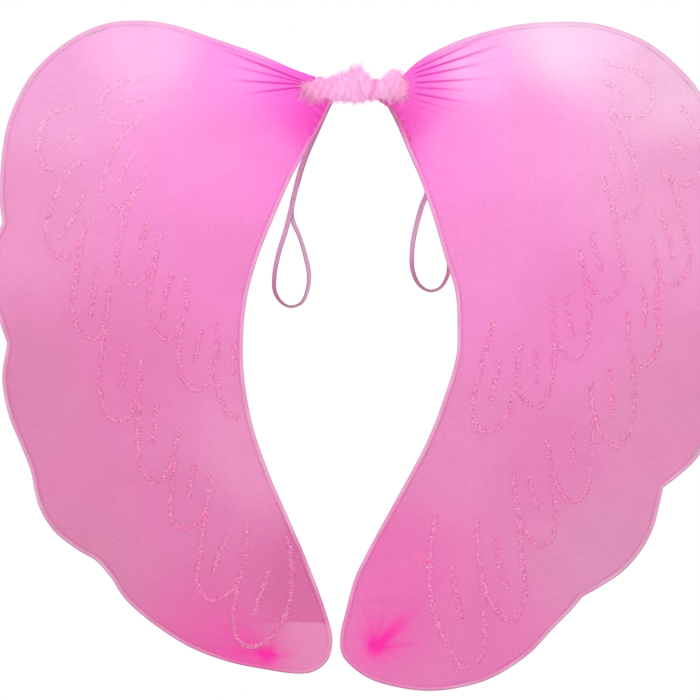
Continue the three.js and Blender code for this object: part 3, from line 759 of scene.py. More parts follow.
def cover_offset(side, xz, rim_distance, layer):
    """How far in y the cover's front (layer -1) or back (layer 1) lies from the bowed plane of the wing."""
    folds, fine_folds = gather_marks(side, xz)
    _, from_knot, rays, streaks = tie_marks(side, xz)
    roll = np.sqrt(np.clip(1 - (rim_distance / RIM_RADIUS) ** 2, 0, 1))
    over_wire = np.maximum(0.92 * roll, np.exp(-((rim_distance / 2.2) ** 2)))
    half = LAYER_HALF + (RIM_RADIUS - LAYER_HALF) * over_wire + gather_bunch(side, xz)
    off_wire = smoothstep(2.2, 5, rim_distance)
    creased = np.minimum(folds + 0.6 * fine_folds, 0.8 * np.maximum(half - 0.3, 0))
    half -= off_wire * creased * (1.0 if layer < 0 else 0.8)
    ray_fade = smoothstep(2.5, 7, from_knot) * np.exp(-((from_knot / 20) ** 2))
    off_knot = 1 - np.exp(-((from_knot / 9) ** 2))
    drawn_in = 0.35 * (rays * ray_fade + 0.6 * streaks * off_knot)
    pull = 0.25 * np.exp(-((from_knot / 5.5) ** 2))
    return layer * half + pull + sag(xz, rim_distance) - layer * drawn_in


def blended(colour, other, share):
    """A colour per point, mixed with another by a share per point."""
    return colour * (1 - share[:, None]) + other * share[:, None]


def cover_colour(side, xz, rim_distance):
    """The cover's linear colour: dye with painted light, hot pink round the tied end, folds with some painted
    shade, the toe band, and the rim with its painted highlight and shade.
    """
    folds, fine_folds = gather_marks(side, xz)
    offset, from_knot, rays, streaks = tie_marks(side, xz)
    from_focus = np.linalg.norm(xz - gather_focus(side), axis=1)
    spread = TIP_KNOTS[side]["spread"]
    # The hot pink runs further along the bottom edge, away from the other wing, than it does across.
    away = offset @ ((-0.98, -0.2) if side == "left" else (0.7, 0.7))
    stretch = 1 + (2.2 if side == "left" else 1.1) * smoothstep(0, 1, away / np.maximum(from_knot, 1e-3))
    hot = 0.97 * np.exp(-((from_knot / spread) ** 2))
    hot = np.maximum(hot, 0.64 * np.exp(-((from_knot / (1.6 * spread * stretch)) ** 1.5)))
    hot *= 1 - 0.22 * rays * smoothstep(6, 14, from_knot)
    hot = np.clip(hot + 0.42 * np.clip(streaks, 0, 1.2), 0, 1)
    colour = blended(dye_and_painted_light_field(side, xz), HOT_PINK, hot)
    # Deeper pink along the gather's folds: partly the knit lying thicker there, partly painted shade in the
    # creases.
    colour = blended(colour, GATHER_PINK, np.clip(0.85 * folds + 0.5 * fine_folds, 0, 0.9))
    colour = blended(colour, NECK_PINK, 0.12 * np.exp(-((from_focus / 20) ** 2)))
    # The left toe is paler below its edge, and the right one has a thin darker line along it.
    edge = xz[:, 1] - TOE_BAND_Z[side] - 0.8 * np.sin(xz[:, 0] * 0.09)
    if side == "left":
        below = 0.75 * (1 - smoothstep(-1.2, 0.4, edge)) * smoothstep(-100, -45, xz[:, 0])
        colour = blended(colour, TOE_PINK, below * (1 - hot))
    else:
        dots = 0.6 + 0.4 * np.sin(xz[:, 0] * 2.1)
        line = 0.16 * dots * np.exp(-((edge / 1.0) ** 2)) * smoothstep(75, 30, xz[:, 0])
        colour = colour * (1 - line)[:, None]
    # Pulled over the wire it is pale, partly from the stretch and partly as a painted highlight on the round
    # rim, with a painted shade line just inside.
    loose = smoothstep(14, 60, from_focus) * (1 - 0.75 * np.exp(-((from_knot / 60) ** 2)))
    uneven = 1 + 0.45 * np.sin(0.13 * xz[:, 0] + 0.07 * xz[:, 1]) * np.sin(0.05 * xz[:, 0] - 0.11 * xz[:, 1])
    colour = blended(colour, RIM_PALE, 0.56 * loose * uneven * np.exp(-((rim_distance / 0.9) ** 2)))
    shade = (0.03 + 0.13 * loose) * uneven * np.exp(-(((rim_distance - 2.2) / 0.6) ** 2))
    return colour * (1 - shade)[:, None]


def add_cover(side, material):
    outer, tip, inner = wing_boundary(side)
    rows = len(outer)
    share = np.linspace(0, 1, COVER_COLUMNS + 1)
    share = 0.45 * share + 0.55 * (0.5 - 0.5 * np.cos(math.pi * share))
    opposite = inner[::-1]
    flat = outer[:, None] * (1 - share[:, None]) + opposite[:, None] * share[:, None]
    straight_tip = tip[0] * (1 - share[:, None]) + tip[-1] * share[:, None]
    lengths = np.concatenate([[0], np.cumsum(np.linalg.norm(np.diff(tip, axis=0), axis=1))])
    tip = np.stack([np.interp(share * lengths[-1], lengths, tip[:, k]) for k in (0, 1)], axis=1)
    bulge = tip - straight_tip
    bend = np.clip((np.arange(rows) - (rows - 1 - TIP_ROWS)) / TIP_ROWS, 0, 1) ** 2
    flat += bend[:, None, None] * bulge[None]
    xz = flat.reshape(-1, 2)

    rim = np.vstack([outer, tip[1:-1], inner])
    distance = distance_to_rim(side, xz)
    columns = COVER_COLUMNS + 1
    last_row = (rows - 1) * columns
    boundary = np.zeros(len(xz), bool)
    boundary[0::columns] = boundary[columns - 1::columns] = True
    boundary[last_row:] = True
    distance[boundary] = 0

    points = []
    for layer in (-1, 1):
        y = np.where(boundary, layer * RIM_RADIUS, cover_offset(side, xz, distance, layer))
        points.append(np.stack([xz[:, 0], PLANE_Y + bow(xz[:, 0]) + y, xz[:, 1]], axis=1))
    colour = cover_colour(side, xz, distance)
    outward = SIDES[side]
    t = np.gradient(rim, axis=0)
    t /= np.linalg.norm(t, axis=1, keepdims=True)
    inward = np.stack([t[:, 1], -t[:, 0]], axis=1) * outward
    ring_index = np.concatenate([np.arange(rows) * columns, last_row + np.arange(1, columns - 1),
                                 (np.arange(rows) * columns + columns - 1)[::-1]])
    count = len(xz)
    colours_with_painted_rim_shade = [colour, colour]
    rings = [ring_index]
    for k in range(1, RIM_SEGMENTS):
        a = math.pi / 2 + math.pi * k / RIM_SEGMENTS
        xy = rim + inward * RIM_RADIUS * math.cos(a)
        y = PLANE_Y + bow(rim[:, 0]) - RIM_RADIUS * math.sin(a)
        points.append(np.stack([xy[:, 0], y, xy[:, 1]], axis=1))
        # Painted shade: the rim darkens round its sides, most of all along edges that face down.
        edge_down = np.clip(inward[:, 1], 0, 1) * (1 - np.linspace(0, 1, len(rim)) ** 8)
        shade = 1 - (0.12 + 0.42 * edge_down) * abs(math.cos(a)) ** 1.2
        colours_with_painted_rim_shade.append(colour[ring_index] * shade[:, None])
        rings.append(2 * count + (k - 1) * len(rim) + np.arange(len(rim)))
    rings.append(ring_index + count)

    faces = grid_faces(rows, columns)
    faces += [tuple(i + count for i in f[::-1]) for f in faces]
    for a, b in zip(rings, rings[1:]):
        faces += [(a[i], b[i], b[i + 1], a[i + 1]) for i in range(len(rim) - 1)]
    faces += [(j, j + count, j + 1 + count, j + 1) for j in range(columns - 1)]
    faces.append(tuple(ring[0] for ring in rings))
    faces.append(tuple(ring[-1] for ring in rings)[::-1])
    if outward > 0:
        faces = [f[::-1] for f in faces]
    faces = [tuple(int(i) for i in f) for f in faces]
    piece = make_mesh(f"{side}_cover_fabric", np.vstack(points), faces, material, colours=np.vstack(colours_with_painted_rim_shade))
    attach(piece, f"{side}_wing")
    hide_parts(f"{side}_wing_cover")


# ---------------------------------------------------------------- glitter

# Each feather's outline and the quill stroke inside it.
FEATHERS = {
    ("left", "inner"): [
        ([(-171, 7), (-194, 4), (-210, -8), (-211, -22), (-196, -31), (-178, -23)],
          [(-169, -6), (-195, -15)]),
        ([(-178, -24), (-196, -44), (-209, -70), (-210, -92), (-198, -101), (-183, -85), (-173, -66)],
          [(-182, -49), (-198, -80)]),
        ([(-185, -89), (-194, -114), (-199, -141), (-196, -156), (-184, -162), (-170, -147), (-163, -123)],
          [(-171, -107), (-181, -139)]),
        ([(-168, -144), (-173, -170), (-173, -189), (-166, -203), (-157, -207), (-144, -189), (-142, -156)],
          [(-153, -152), (-162, -191)]),
        ([(-146, -192), (-148, -221), (-146, -238), (-133, -249), (-121, -236), (-117, -209), (-118, -194)],
          [(-130, -197), (-135, -226)]),
        ([(-118, -235), (-114, -257), (-107, -268), (-99, -272)], [(-103, -207), (-104, -237)]),
    ],
    ("left", "outer"): [
        ([(-232, -15), (-255, -25), (-263, -48), (-257, -66), (-244, -70), (-224, -59)],
          [(-232, -37), (-248, -52)]),
        ([(-236, -68), (-249, -90), (-256, -117), (-252, -135), (-243, -141), (-230, -130), (-222, -107)],
          [(-225, -86), (-247, -126)]),
        ([(-227, -125), (-232, -158), (-235, -184), (-230, -199), (-216, -207), (-208, -191), (-205, -164)],
          [(-216, -145), (-221, -189)]),
        ([(-208, -190), (-212, -228), (-212, -255), (-202, -273), (-189, -270), (-181, -247), (-180, -224)],
          [(-190, -209), (-196, -249)]),
        ([(-180, -250), (-182, -289), (-179, -312), (-168, -324), (-157, -315), (-152, -298), (-148, -281)],
          [(-166, -259), (-169, -293)]),
        ([(-151, -301), (-155, -343), (-153, -357), (-142, -362), (-129, -352), (-124, -332), (-123, -319)],
          [(-135, -309), (-140, -337)]),
        ([(-126, -346), (-131, -381), (-133, -408), (-123, -421), (-107, -415), (-95, -390), (-93, -353)],
          [(-107, -366), (-121, -401)]),
        ([(-99, -402), (-104, -433), (-100, -453), (-88, -459), (-68, -446), (-57, -417), (-57, -381),
          (-61, -367)], [(-73, -395), (-87, -433)]),
    ],
    ("right", "inner"): [
        ([(198, 20), (221, 14), (238, 2), (238, -17), (222, -27), (203, -18)], [(198, 5), (223, -11)]),
        ([(204, -19), (220, -49), (229, -83), (226, -104), (215, -106), (203, -88), (198, -71)],
          [(205, -49), (216, -88)]),
        ([(206, -97), (212, -129), (215, -159), (202, -175), (187, -160), (180, -134)],
          [(190, -117), (198, -152)]),
        ([(184, -154), (188, -185), (185, -212), (174, -224), (161, -209), (158, -189), (158, -171)],
          [(170, -165), (175, -207)]),
        ([(160, -210), (157, -238), (150, -260), (142, -263), (130, -248), (130, -225), (133, -211)],
          [(144, -213), (145, -243)]),
        ([(129, -237), (122, -266), (112, -280), (99, -282), (92, -265), (98, -236), (110, -190)],
          [(115, -223), (107, -258)]),
    ],
    ("right", "outer"): [
        ([(261, -16), (274, -35), (280, -56), (277, -74), (267, -81), (253, -75), (246, -71)],
          [(255, -42), (266, -60)]),
        ([(255, -76), (264, -110), (269, -144), (259, -162), (249, -160), (242, -140), (238, -121)],
          [(242, -98), (256, -142)]),
        ([(242, -142), (243, -183), (244, -213), (230, -230), (221, -216), (219, -182)],
          [(230, -162), (233, -197)]),
        ([(223, -224), (223, -274), (210, -295), (196, -280), (190, -262), (189, -242)],
          [(203, -228), (206, -270)]),
        ([(191, -270), (189, -308), (183, -335), (173, -340), (162, -328), (156, -309), (153, -290)],
          [(175, -273), (175, -309)]),
        ([(158, -322), (160, -351), (157, -371), (146, -376), (135, -363), (127, -335), (126, -316)],
          [(139, -317), (146, -346)]),
        ([(130, -346), (132, -384), (135, -417), (126, -438), (112, -430), (100, -403), (96, -371),
          (96, -353)], [(111, -368), (121, -412)]),
        ([(100, -404), (102, -449), (97, -470), (84, -475), (72, -459), (60, -427), (57, -388), (62, -351)],
          [(76, -391), (84, -436)]),
    ],
}
BEAD_WIDTH = 3.9
BEAD_HEIGHT = 0.5
FLAKES_PER_MM = 4.6
FLAKE_SIZE = (0.18, 0.46)      # from a flake's middle to its corners
# Flakes by kind: the share on the dull lower wing and on the bright crest, how much of the knit's colour
# shows in them, and the colour that they add. The two palest kinds are painted glints, and more of them lie
# on the crest.
FLAKES = [
    (0.16, 0.50, 0.40, linear((255, 216, 242))),
    (0.10, 0.20, 0.10, linear((255, 224, 246))),
    (0.38, 0.18, 0.55, linear((246, 96, 172))),
    (0.31, 0.09, 0.35, linear((232, 62, 148))),
    (0.05, 0.03, 0.20, linear((110, 36, 90))),
]
CREST_Z = (-190, -10)  # between these heights the strokes change from dull to bright
GLUE_PINK = linear((240, 92, 172))


def brightness(z):
    return smoothstep(*CREST_Z, z)


def bead(side, points, seed):
    """A squeezed line of glue: width and height wander, and both ends are rounded."""
    line = resample(catmull_rom(points), max(int(length_of(catmull_rom(points)) / 0.8), 12))
    along = np.linspace(0, length_of(line), len(line))
    ends = np.sqrt(np.clip(np.minimum(along, along[-1] - along) / 2.0, 0.02, 1))
    width = BEAD_WIDTH * (1 + 0.20 * wobble(along, seed, 0.8) + 0.08 * wobble(along, seed + 1, 3.1)) * ends
    height = BEAD_HEIGHT * (1 + 0.22 * wobble(along, seed + 2, 1.1)) * ends
    t = tangents(line)
    aside = np.stack([-t[:, 1], t[:, 0]], axis=1)
    profile = [(-0.5, 0.0), (-0.44, 0.42), (-0.25, 0.84), (0.0, 1.0), (0.25, 0.84), (0.44, 0.42), (0.5, 0.0)]
    rows = []
    for across, up in profile:
        offset = width * across * (1 + 0.10 * wobble(along, seed + 5 + int(across * 10), 2.7))
        xz = line + aside * offset[:, None]
        y = cover_front(side, xz) + 0.25 - (height + 0.25) * up
        rows.append(np.stack([xz[:, 0], y, xz[:, 1]], axis=1))
    points3 = np.stack(rows, axis=1)
    count = len(profile)
    faces = grid_faces(len(line), count, close=True) + end_caps(len(line), count)
    return points3.reshape(-1, 3), [f[::-1] for f in faces], line, width, height


def flakes(side, line, width, height):
    """Hexagonal glitter flakes lying in and on a bead, some strayed just beside it."""
    count = int(length_of(line) * FLAKES_PER_MM)
    at = rng.uniform(0, len(line) - 1.001, count)
    i = at.astype(int)
    centre = line[i] + (line[i + 1] - line[i]) * (at - i)[:, None]
    t = tangents(line)[i]
    across = np.stack([-t[:, 1], t[:, 0]], axis=1)
    at_edge = rng.random(count) < 0.45
    aside = np.where(at_edge, rng.choice((-1, 1), count) * rng.normal(0.40, 0.07, count),
                     rng.normal(0, 0.22, count))
    xz = centre + across * (aside * width[i])[:, None]
    lift = height[i] * np.sqrt(np.clip(1 - (aside / 0.5) ** 2, 0, 1)) + 0.1
    y = cover_front(side, xz) - lift
    size = rng.uniform(*FLAKE_SIZE, count)
    tilt = rng.normal(0, 0.35, (count, 2))
    spin = rng.uniform(0, math.pi / 3, count)
    corners = []
    for k in range(6):
        a = spin + k * math.pi / 3
        dx, dz = size * np.cos(a), size * np.sin(a)
        lean = dx * tilt[:, 0] + dz * tilt[:, 1]
        corners.append(np.stack([xz[:, 0] + dx, y + lean, xz[:, 1] + dz], axis=1))
    points = np.stack(corners, axis=1).reshape(-1, 3)
    faces = np.arange(count * 6).reshape(-1, 6)
    dull, bright = np.array([kind[:2] for kind in FLAKES]).T
    shares = dull + (bright - dull) * brightness(xz[:, 1])[:, None]
    kind = (rng.random(count)[:, None] > np.cumsum(shares, axis=1)[:, :-1]).sum(1)
    through = np.array([through for _, _, through, _ in FLAKES])[kind][:, None]
    tint = np.array([colour for _, _, _, colour in FLAKES])[kind]
    tones = dye_and_painted_light_field(side, xz) * through + tint * (1 - through)
    return points, [tuple(f) for f in faces.tolist()], np.repeat(tones, 6, axis=0)


def add_glitter(side, glue, flake):
    rows = {
        "inner_feathers": ([o for o, _ in FEATHERS[side, "inner"]], [f"{side}_inner_feather_row"]),
        "outer_feathers": ([o for o, _ in FEATHERS[side, "outer"]], [f"{side}_outer_feather_row"]),
        "quills": ([q for row in ("inner", "outer") for _, q in FEATHERS[side, row]],
                   [f"{side}_quill_{i:02d}" for i in range(1, 15)]),
    }
    seed = 11 if side == "left" else 61
    for name, (strokes, nodes) in rows.items():
        beads, specks, tones = [], [], []
        for stroke in strokes:
            seed += 7
            start, end = np.array(stroke[0], float), np.array(stroke[-1], float)
            if len(stroke) == 2:
                lean = np.array((-(end - start)[1], (end - start)[0])) * 0.05 * math.sin(seed)
                stroke = [stroke[0], tuple((start + end) / 2 + lean), stroke[1]]
            points, faces, line, width, height = bead(side, stroke, seed)
            beads.append((points, faces))
            flake_points, flake_faces, flake_tones = flakes(side, line, width, height)
            specks.append((flake_points, flake_faces))
            tones.append(flake_tones)
        points, faces = join(beads)
        # More of the glue's own pink lower down, and less towards the top.
        glue_pink_lower_down = (0.34 - 0.28 * brightness(points[:, 2]))[:, None]
        colours = dye_and_painted_light_field(side, points[:, [0, 2]]) * (1 - glue_pink_lower_down) + GLUE_PINK * glue_pink_lower_down
        piece = make_mesh(f"{side}_{name}_glue", points, faces, glue, colours=colours)
        points, faces = join(specks)
        glints = make_mesh(f"{side}_{name}_flakes", points, faces, flake, False, np.vstack(tones))
        for obj in (piece, glints):
            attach(obj, f"{side}_wing")
        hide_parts(*nodes)


# ---------------------------------------------------------------- fur

# How the fur lies along the strip: x, lift of the skin, lift of its top, reach of the fibres, the way they
# are combed across and upwards, and how far they stand up in a tuft instead.
FUR_LIE = np.array([
    (-47, -5.8, 0.0, 8.0, -0.80, -0.75, 0.0),
    (-42, -2.4, 0.0, 9.5, -0.55, -0.95, 0.0),
    (-35, 0.0, 0.2, 8.5, -0.50, -0.85, 0.0),
    (-27, 0.0, 0.6, 7.0, -0.45, -0.45, 0.1),
    (-20, 0.4, 1.2, 5.5, -0.30, -0.15, 0.3),
    (-12, 0.8, 4.0, 6.0, -0.20, 0.05, 0.7),
    (-4, 1.0, 7.4, 7.0, -0.05, 0.20, 1.0),
    (1, 0.9, 8.0, 7.0, 0.10, 0.20, 1.0),
    (6, 0.4, 2.2, 5.5, 0.30, -0.10, 0.6),
    (11, -1.2, -0.4, 4.0, 0.35, -0.40, 0.1),
    (17, -0.4, 0.6, 5.0, 0.45, -0.65, 0.0),
    (22, 0.3, 4.6, 8.0, 0.35, -0.75, 0.3),
    (29, 0.6, 6.8, 9.0, 0.50, -0.95, 0.3),
    (34, -0.8, 5.4, 8.0, 0.60, -0.90, 0.1),
    (38.5, -4.8, 1.0, 6.0, 0.75, -0.75, 0.0),
], float)
FUR_LEFT, FUR_RIGHT = -47.0, 38.5
FUR_SKIN = 8.8
FUR_MIDDLE_Z = -2.0
FUR_TONES = linear([(255, 224, 249), (255, 210, 244), (254, 195, 237), (250, 176, 224)])
FUR_TAIL_BOUNCED_PINK = np.array((0.0, 0.18, 0.10))        # how much redder the ends are than the middle: painted pink light bounced off the covers
FUR_WHITE = linear((255, 236, 248))
PARTING_X = 11.0       # where two lengths of the strip meet
FUR_FIBRES = [(9500, 0.06, 0.0), (1800, 0.13, 0.5)]    # how many, their radius, their paleness on the right


def fur_lie(x):
    return [np.interp(x, FUR_LIE[:, 0], FUR_LIE[:, k]) for k in range(1, 7)]


def fur_height(x, angle):
    """Radius of the fur's skin, which is lumpy and dips along the spiral seam of the wound strip."""
    lift, top_lift = fur_lie(x)[:2]
    turn = (x / 23.0 + angle / (2 * math.pi)) % 1.0
    seam = 1.2 * np.exp(-((np.minimum(turn, 1 - turn) / 0.06) ** 2))
    lumps = 0.5 * np.sin(x * 0.42 + 2 * angle) + 0.4 * np.sin(x * 0.9 - 3 * angle + 1)
    return FUR_SKIN - seam + lumps + lift + top_lift * np.clip(np.sin(angle), 0, 1) ** 2


def fur_back(x):
    """The y that the fur keeps in front of: the wearer's back in the middle, and the cover beside it."""
    beside = smoothstep(HINGE_X["right"] - 2, HINGE_X["right"] + 6, x)
    beside += smoothstep(-HINGE_X["left"] - 2, -HINGE_X["left"] + 6, -x)
    return -0.4 + beside * (PLANE_Y - 0.8)


def fur_surface(x, angle, radius):
    """angle 0 is the front, and grows upwards; the back is pressed flat."""
    y = PLANE_Y - radius * np.cos(angle)
    z = radius * np.sin(angle) + FUR_MIDDLE_Z
    flat = fur_back(x) - 1.6
    y = np.where(y > flat, flat + 0.2 * (y - flat), y)
    return np.stack([x, y, z], axis=-1)


def fur_skin(x0, x1):
    xs = np.linspace(x0, x1, max(int((x1 - x0) / 0.9), 6))
    angles = np.arange(48) / 48 * 2 * math.pi
    grid_x, grid_a = np.meshgrid(xs, angles, indexing="ij")
    points = fur_surface(grid_x, grid_a, fur_height(grid_x, grid_a))
    colours = FUR_TONES[2] * fur_shade(grid_x, grid_a, points[..., 2])
    faces = grid_faces(len(xs), len(angles), close=True) + end_caps(len(xs), len(angles))
    return points.reshape(-1, 3), faces, colours.reshape(-1, 3)


def fur_shade(x, angle, z):
    """Colour factors: redder towards the ends, as painted pink light bounced off the covers, darker in the
    clefts between clumps as painted shade, and darker at the parting.
    """
    tail = smoothstep(14, 38, np.abs(x))[..., None] * FUR_TAIL_BOUNCED_PINK
    clefts = 0.26 * np.clip(wobble(x * 1.2 + 3.1 * np.sin(angle * 2 + 0.1 * x), 29), 0, 1)
    ragged = 1.4 * wobble(z * 0.5, 33)
    parting = 0.26 * np.exp(-(((x - PARTING_X - 0.35 * (z - FUR_MIDDLE_Z) - ragged) / 2.0) ** 2))
    return (1 - tail) * (1 - clefts - parting)[..., None] ** (0.25, 1.3, 0.8)


def fur_fibres(x0, x1, count, thick, white):
    """Tapered three-sided fibres rooted all over the skin, curving over as they are combed.

    white is how pale the fibres on the right are."""
    x = rng.uniform(x0, x1, count)
    beside = smoothstep(20, 34, np.abs(x))
    kept = rng.random(count) > 0.5 * beside        # sparser where the fibres are long
    x, beside, count = x[kept], beside[kept], int(kept.sum())
    angle = rng.uniform(-math.pi, math.pi, count) * (1 - 0.32 * beside)
    clump_x = x + 1.3 * np.sin(angle * 5 + x * 0.6)
    clump_a = np.round(angle / 0.3) * 0.3
    root = fur_surface(x, angle, fur_height(x, angle) - 0.4)
    _, _, reach, across, upward, stand = fur_lie(x)
    out = np.stack([np.zeros(count), -np.cos(angle), np.sin(angle)], axis=1)
    out[:, 1] = np.where(out[:, 1] > 0.3, out[:, 1] * 0.35, out[:, 1])
    comb = np.stack([across, np.zeros(count), upward], axis=1)
    lean = np.stack([wobble(clump_x * 0.8 + clump_a * 2.3, seed) for seed in (21, 22, 23)], axis=1) * 0.5
    rise = out * (0.55 + 0.55 * stand)[:, None] + comb * 0.6 + lean + rng.normal(0, 0.16, (count, 3))
    rise /= np.linalg.norm(rise, axis=1, keepdims=True)
    top = np.clip(np.sin(angle), 0, 1) ** 2
    back = np.where(np.cos(angle) < -0.2, 0.55, 1.0)
    under = np.clip(-np.sin(angle), 0, 1) ** 2
    fullness = 0.72 + 0.42 * top * stand + 0.1 * top + 0.15 * under
    length = reach * rng.uniform(0.45, 1.1, count) * fullness * back
    bend = comb * (0.55 * length * (1 - 0.7 * stand))[:, None]
    middle = root + rise * (length * 0.5)[:, None] + bend * 0.2
    tip = root + rise * (length * 0.86)[:, None] + bend * 0.75
    cross = np.cross(rise, rng.normal(0, 1, (count, 3)))
    cross /= np.linalg.norm(cross, axis=1, keepdims=True)
    other = np.cross(rise, cross)
    rings = []
    for centre, scale in ((root, 1.0), (middle, 0.7)):
        for k in range(3):
            a = 2 * math.pi * k / 3
            rings.append(centre + (cross * math.cos(a) + other * math.sin(a)) * thick * scale)
    points = np.stack(rings + [tip], axis=1)
    points[..., 1] = np.minimum(points[..., 1], fur_back(points[..., 0]))
    base = np.arange(count)[:, None] * 7
    quads = np.concatenate([base + np.array((k, (k + 1) % 3, 3 + (k + 1) % 3, 3 + k)) for k in range(3)])
    caps = np.concatenate([base + np.array((3 + k, 3 + (k + 1) % 3, 6)) for k in range(3)])
    feet = base + np.array((2, 1, 0))
    faces = [tuple(f) for group in (quads, caps, feet) for f in group.tolist()]
    shares = np.array((0.30, 0.36, 0.24, 0.10))
    pick = FUR_TONES[rng.choice(len(FUR_TONES), count, p=shares)]
    pale = white * smoothstep(12, 22, x)[:, None]
    pick = np.maximum(pick * fur_shade(x, angle, root[:, 2]) * (1 - pale) + FUR_WHITE * pale, 0)
    # Painted shade at each fibre's root and painted light at its tip.
    colours = np.concatenate([np.repeat(pick[:, None] * shade, times, axis=1)
                              for shade, times in ((0.94, 3), (1.0, 3), (1.04, 1))], axis=1)
    return points.reshape(-1, 3), faces, np.minimum(colours, 1).reshape(-1, 3)


def add_fur(material):
    """The fur in two halves, left and right of the middle."""
    for side, x0, x1 in (("left", FUR_LEFT, 0.0), ("right", 0.0, FUR_RIGHT)):
        share = (x1 - x0) / (FUR_RIGHT - FUR_LEFT)
        skin_points, skin_faces, skin_colours = fur_skin(x0, x1)
        layers = [fur_fibres(x0, x1, int(count * share), thick, white) for count, thick, white in FUR_FIBRES]
        points, faces = join([(skin_points, skin_faces)] + [layer[:2] for layer in layers])
        smooth = np.arange(len(faces)) < len(skin_faces)
        colours = np.vstack([skin_colours] + [layer[2] for layer in layers])
        piece = make_mesh(f"{side}_fur", points, faces, material, smooth, colours)
        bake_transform(piece)
        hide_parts("fur_trim", f"{side}_fur_end")


# ---------------------------------------------------------------- knots and bindings

def thread_coil(centre, half, axis, turns, spread, thickness, seed):
    """Thread wound round an oval whose axis is 0 (X) or 1 (Y)."""
    a = np.linspace(0, turns * 2 * math.pi, int(turns * 40))
    along = np.linspace(-spread / 2, spread / 2, len(a)) + 0.15 * wobble(a, seed, 0.5)
    grow = 1 + 0.05 * wobble(a, seed + 1, 0.7)
    across, up = half[0] * np.cos(a) * grow, half[1] * np.sin(a) * grow
    line = np.stack([along, across, up] if axis == 0 else [across, along, up], axis=1) + centre
    return sweep(line, round_section(thickness, 7), line - centre + (0.001, 0.001, 0.001))


# The cover's lower hem, where its gathered end runs in under the fur, and the line inside it on the flat.
HEMS = {
    "left": {
        "hem": [(-42, -45), (-39.6, -40.5), (-37.4, -36.4), (-34.6, -31.5), (-31, -25.3), (-27.3, -16.8),
                (-24.3, -10.5)],
        "inside": [(-44, -46), (-42.5, -39), (-41.5, -30), (-40.5, -22), (-39.5, -14), (-38.5, -7),
                   (-37.5, -3)],
    },
    "right": {
        "hem": [(41, -44), (38.8, -40), (36.8, -36), (34.4, -31), (30.6, -24.3), (26.6, -18.2), (20.5, -13),
                (15.5, -9.6)],
        "inside": [(43, -45), (41.8, -39), (41, -34), (40.2, -28), (39.4, -21), (38.6, -14), (37.4, -8),
                   (35, -3)],
    },
}
HEM_RADIUS = 1.5
HEM_SIDES = 14
HEM_ROWS, WEB_COLUMNS = 90, 26
OFF_THE_RIM = 20.0             # a distance at which the rim no longer colours the cloth
PLEAT_PINK = linear((206, 30, 138))


def add_hem(side, material):
    """The gathered corner of a cover: a web of small pleats from the flat to a rolled, lumpy hem."""
    hem = resample(catmull_rom(HEMS[side]["hem"]), HEM_ROWS)
    inside = resample(catmull_rom(HEMS[side]["inside"]), HEM_ROWS)
    along = np.linspace(0, 1, HEM_ROWS)
    lumpy = smoothstep(0.35, 1.0, along) * (0.22 if side == "left" else 0.5)
    across = np.linspace(0, 1, WEB_COLUMNS)
    xz = (inside[:, None] * (1 - across[:, None]) + hem[:, None] * across[:, None])
    pleats = np.sin(along[:, None] * 34 + 2 * across[None])
    pleats += 0.5 * np.sin(along[:, None] * 71 - 3 * across[None])
    flat = xz.reshape(-1, 2)
    bunch = gather_bunch(side, flat).reshape(xz.shape[:2])
    rise = smoothstep(0, 0.35, across) * (1 - 0.5 * smoothstep(0.75, 1, across))
    rise = rise[None] * smoothstep(0, 0.2, along)[:, None]
    depth = 0.3 + bunch + 1.75 * rise + 0.22 * pleats * across[None] * smoothstep(0.1, 0.5, along)[:, None]
    front = PLANE_Y - depth
    back = PLANE_Y + 0.5 + 0.8 * depth
    grid = grid_faces(HEM_ROWS, WEB_COLUMNS)
    layers = [np.stack([xz[..., 0], y, xz[..., 1]], axis=-1).reshape(-1, 3) for y in (front, back)]
    count = HEM_ROWS * WEB_COLUMNS
    last_row, last_column = HEM_ROWS - 1, WEB_COLUMNS - 1
    edge = [(i, 0) for i in range(last_row)] + [(last_row, j) for j in range(last_column)]
    edge += [(last_row - i, last_column - j) for i, j in edge]
    ring = [i * WEB_COLUMNS + j for i, j in edge]
    walls = [(a, b, b + count, a + count) for a, b in zip(ring, ring[1:] + ring[:1])]
    web_faces = grid + [tuple(i + count for i in f) for f in grid] + walls
    deep = (np.clip(0.45 + 0.35 * pleats, 0, 1) * across[None] * 0.75).ravel()
    web_colours = blended(cover_colour(side, flat, np.full(len(flat), OFF_THE_RIM)), PLEAT_PINK, deep)

    line = np.stack([hem[:, 0], PLANE_Y - 0.3 - 0.8 * bunch[:, -1], hem[:, 1]], axis=1)
    lumps = 1 + lumpy * (0.6 * wobble(along * 60, 83) + 0.5 * wobble(along * 60, 84, 2.2)) + 0.1 * along
    section = round_section(HEM_RADIUS, HEM_SIDES)[None] * lumps[:, None, None]
    hem_points, hem_faces = sweep(line, section, (0, -1, 0))
    # The roll is darker along its outer side, and darker as painted shade in the hollows between its lumps.
    outer_edge = np.tile(np.clip(round_section(1, HEM_SIDES)[:, 0] * SIDES[side], 0, 1), HEM_ROWS)[:, None]
    rolled = linear((240, 126, 196) if side == "left" else (226, 104, 168))
    dark = linear((196, 50, 130) if side == "left" else (160, 60, 104))
    hollows = np.clip(-wobble(along * 60, 84, 2.2), 0, 1) * smoothstep(0.4, 1, along)
    shade = np.clip(0.75 * outer_edge + 0.7 * np.repeat(hollows, HEM_SIDES)[:, None], 0, 1)
    hem_colours = rolled * (1 - shade) + dark * shade

    points, faces = join([(np.vstack(layers), web_faces), (hem_points, hem_faces)])
    colours = np.vstack([web_colours, web_colours, hem_colours])
    piece = make_mesh(f"{side}_gathered_hem", points, faces, material, colours=colours)
    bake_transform(piece)


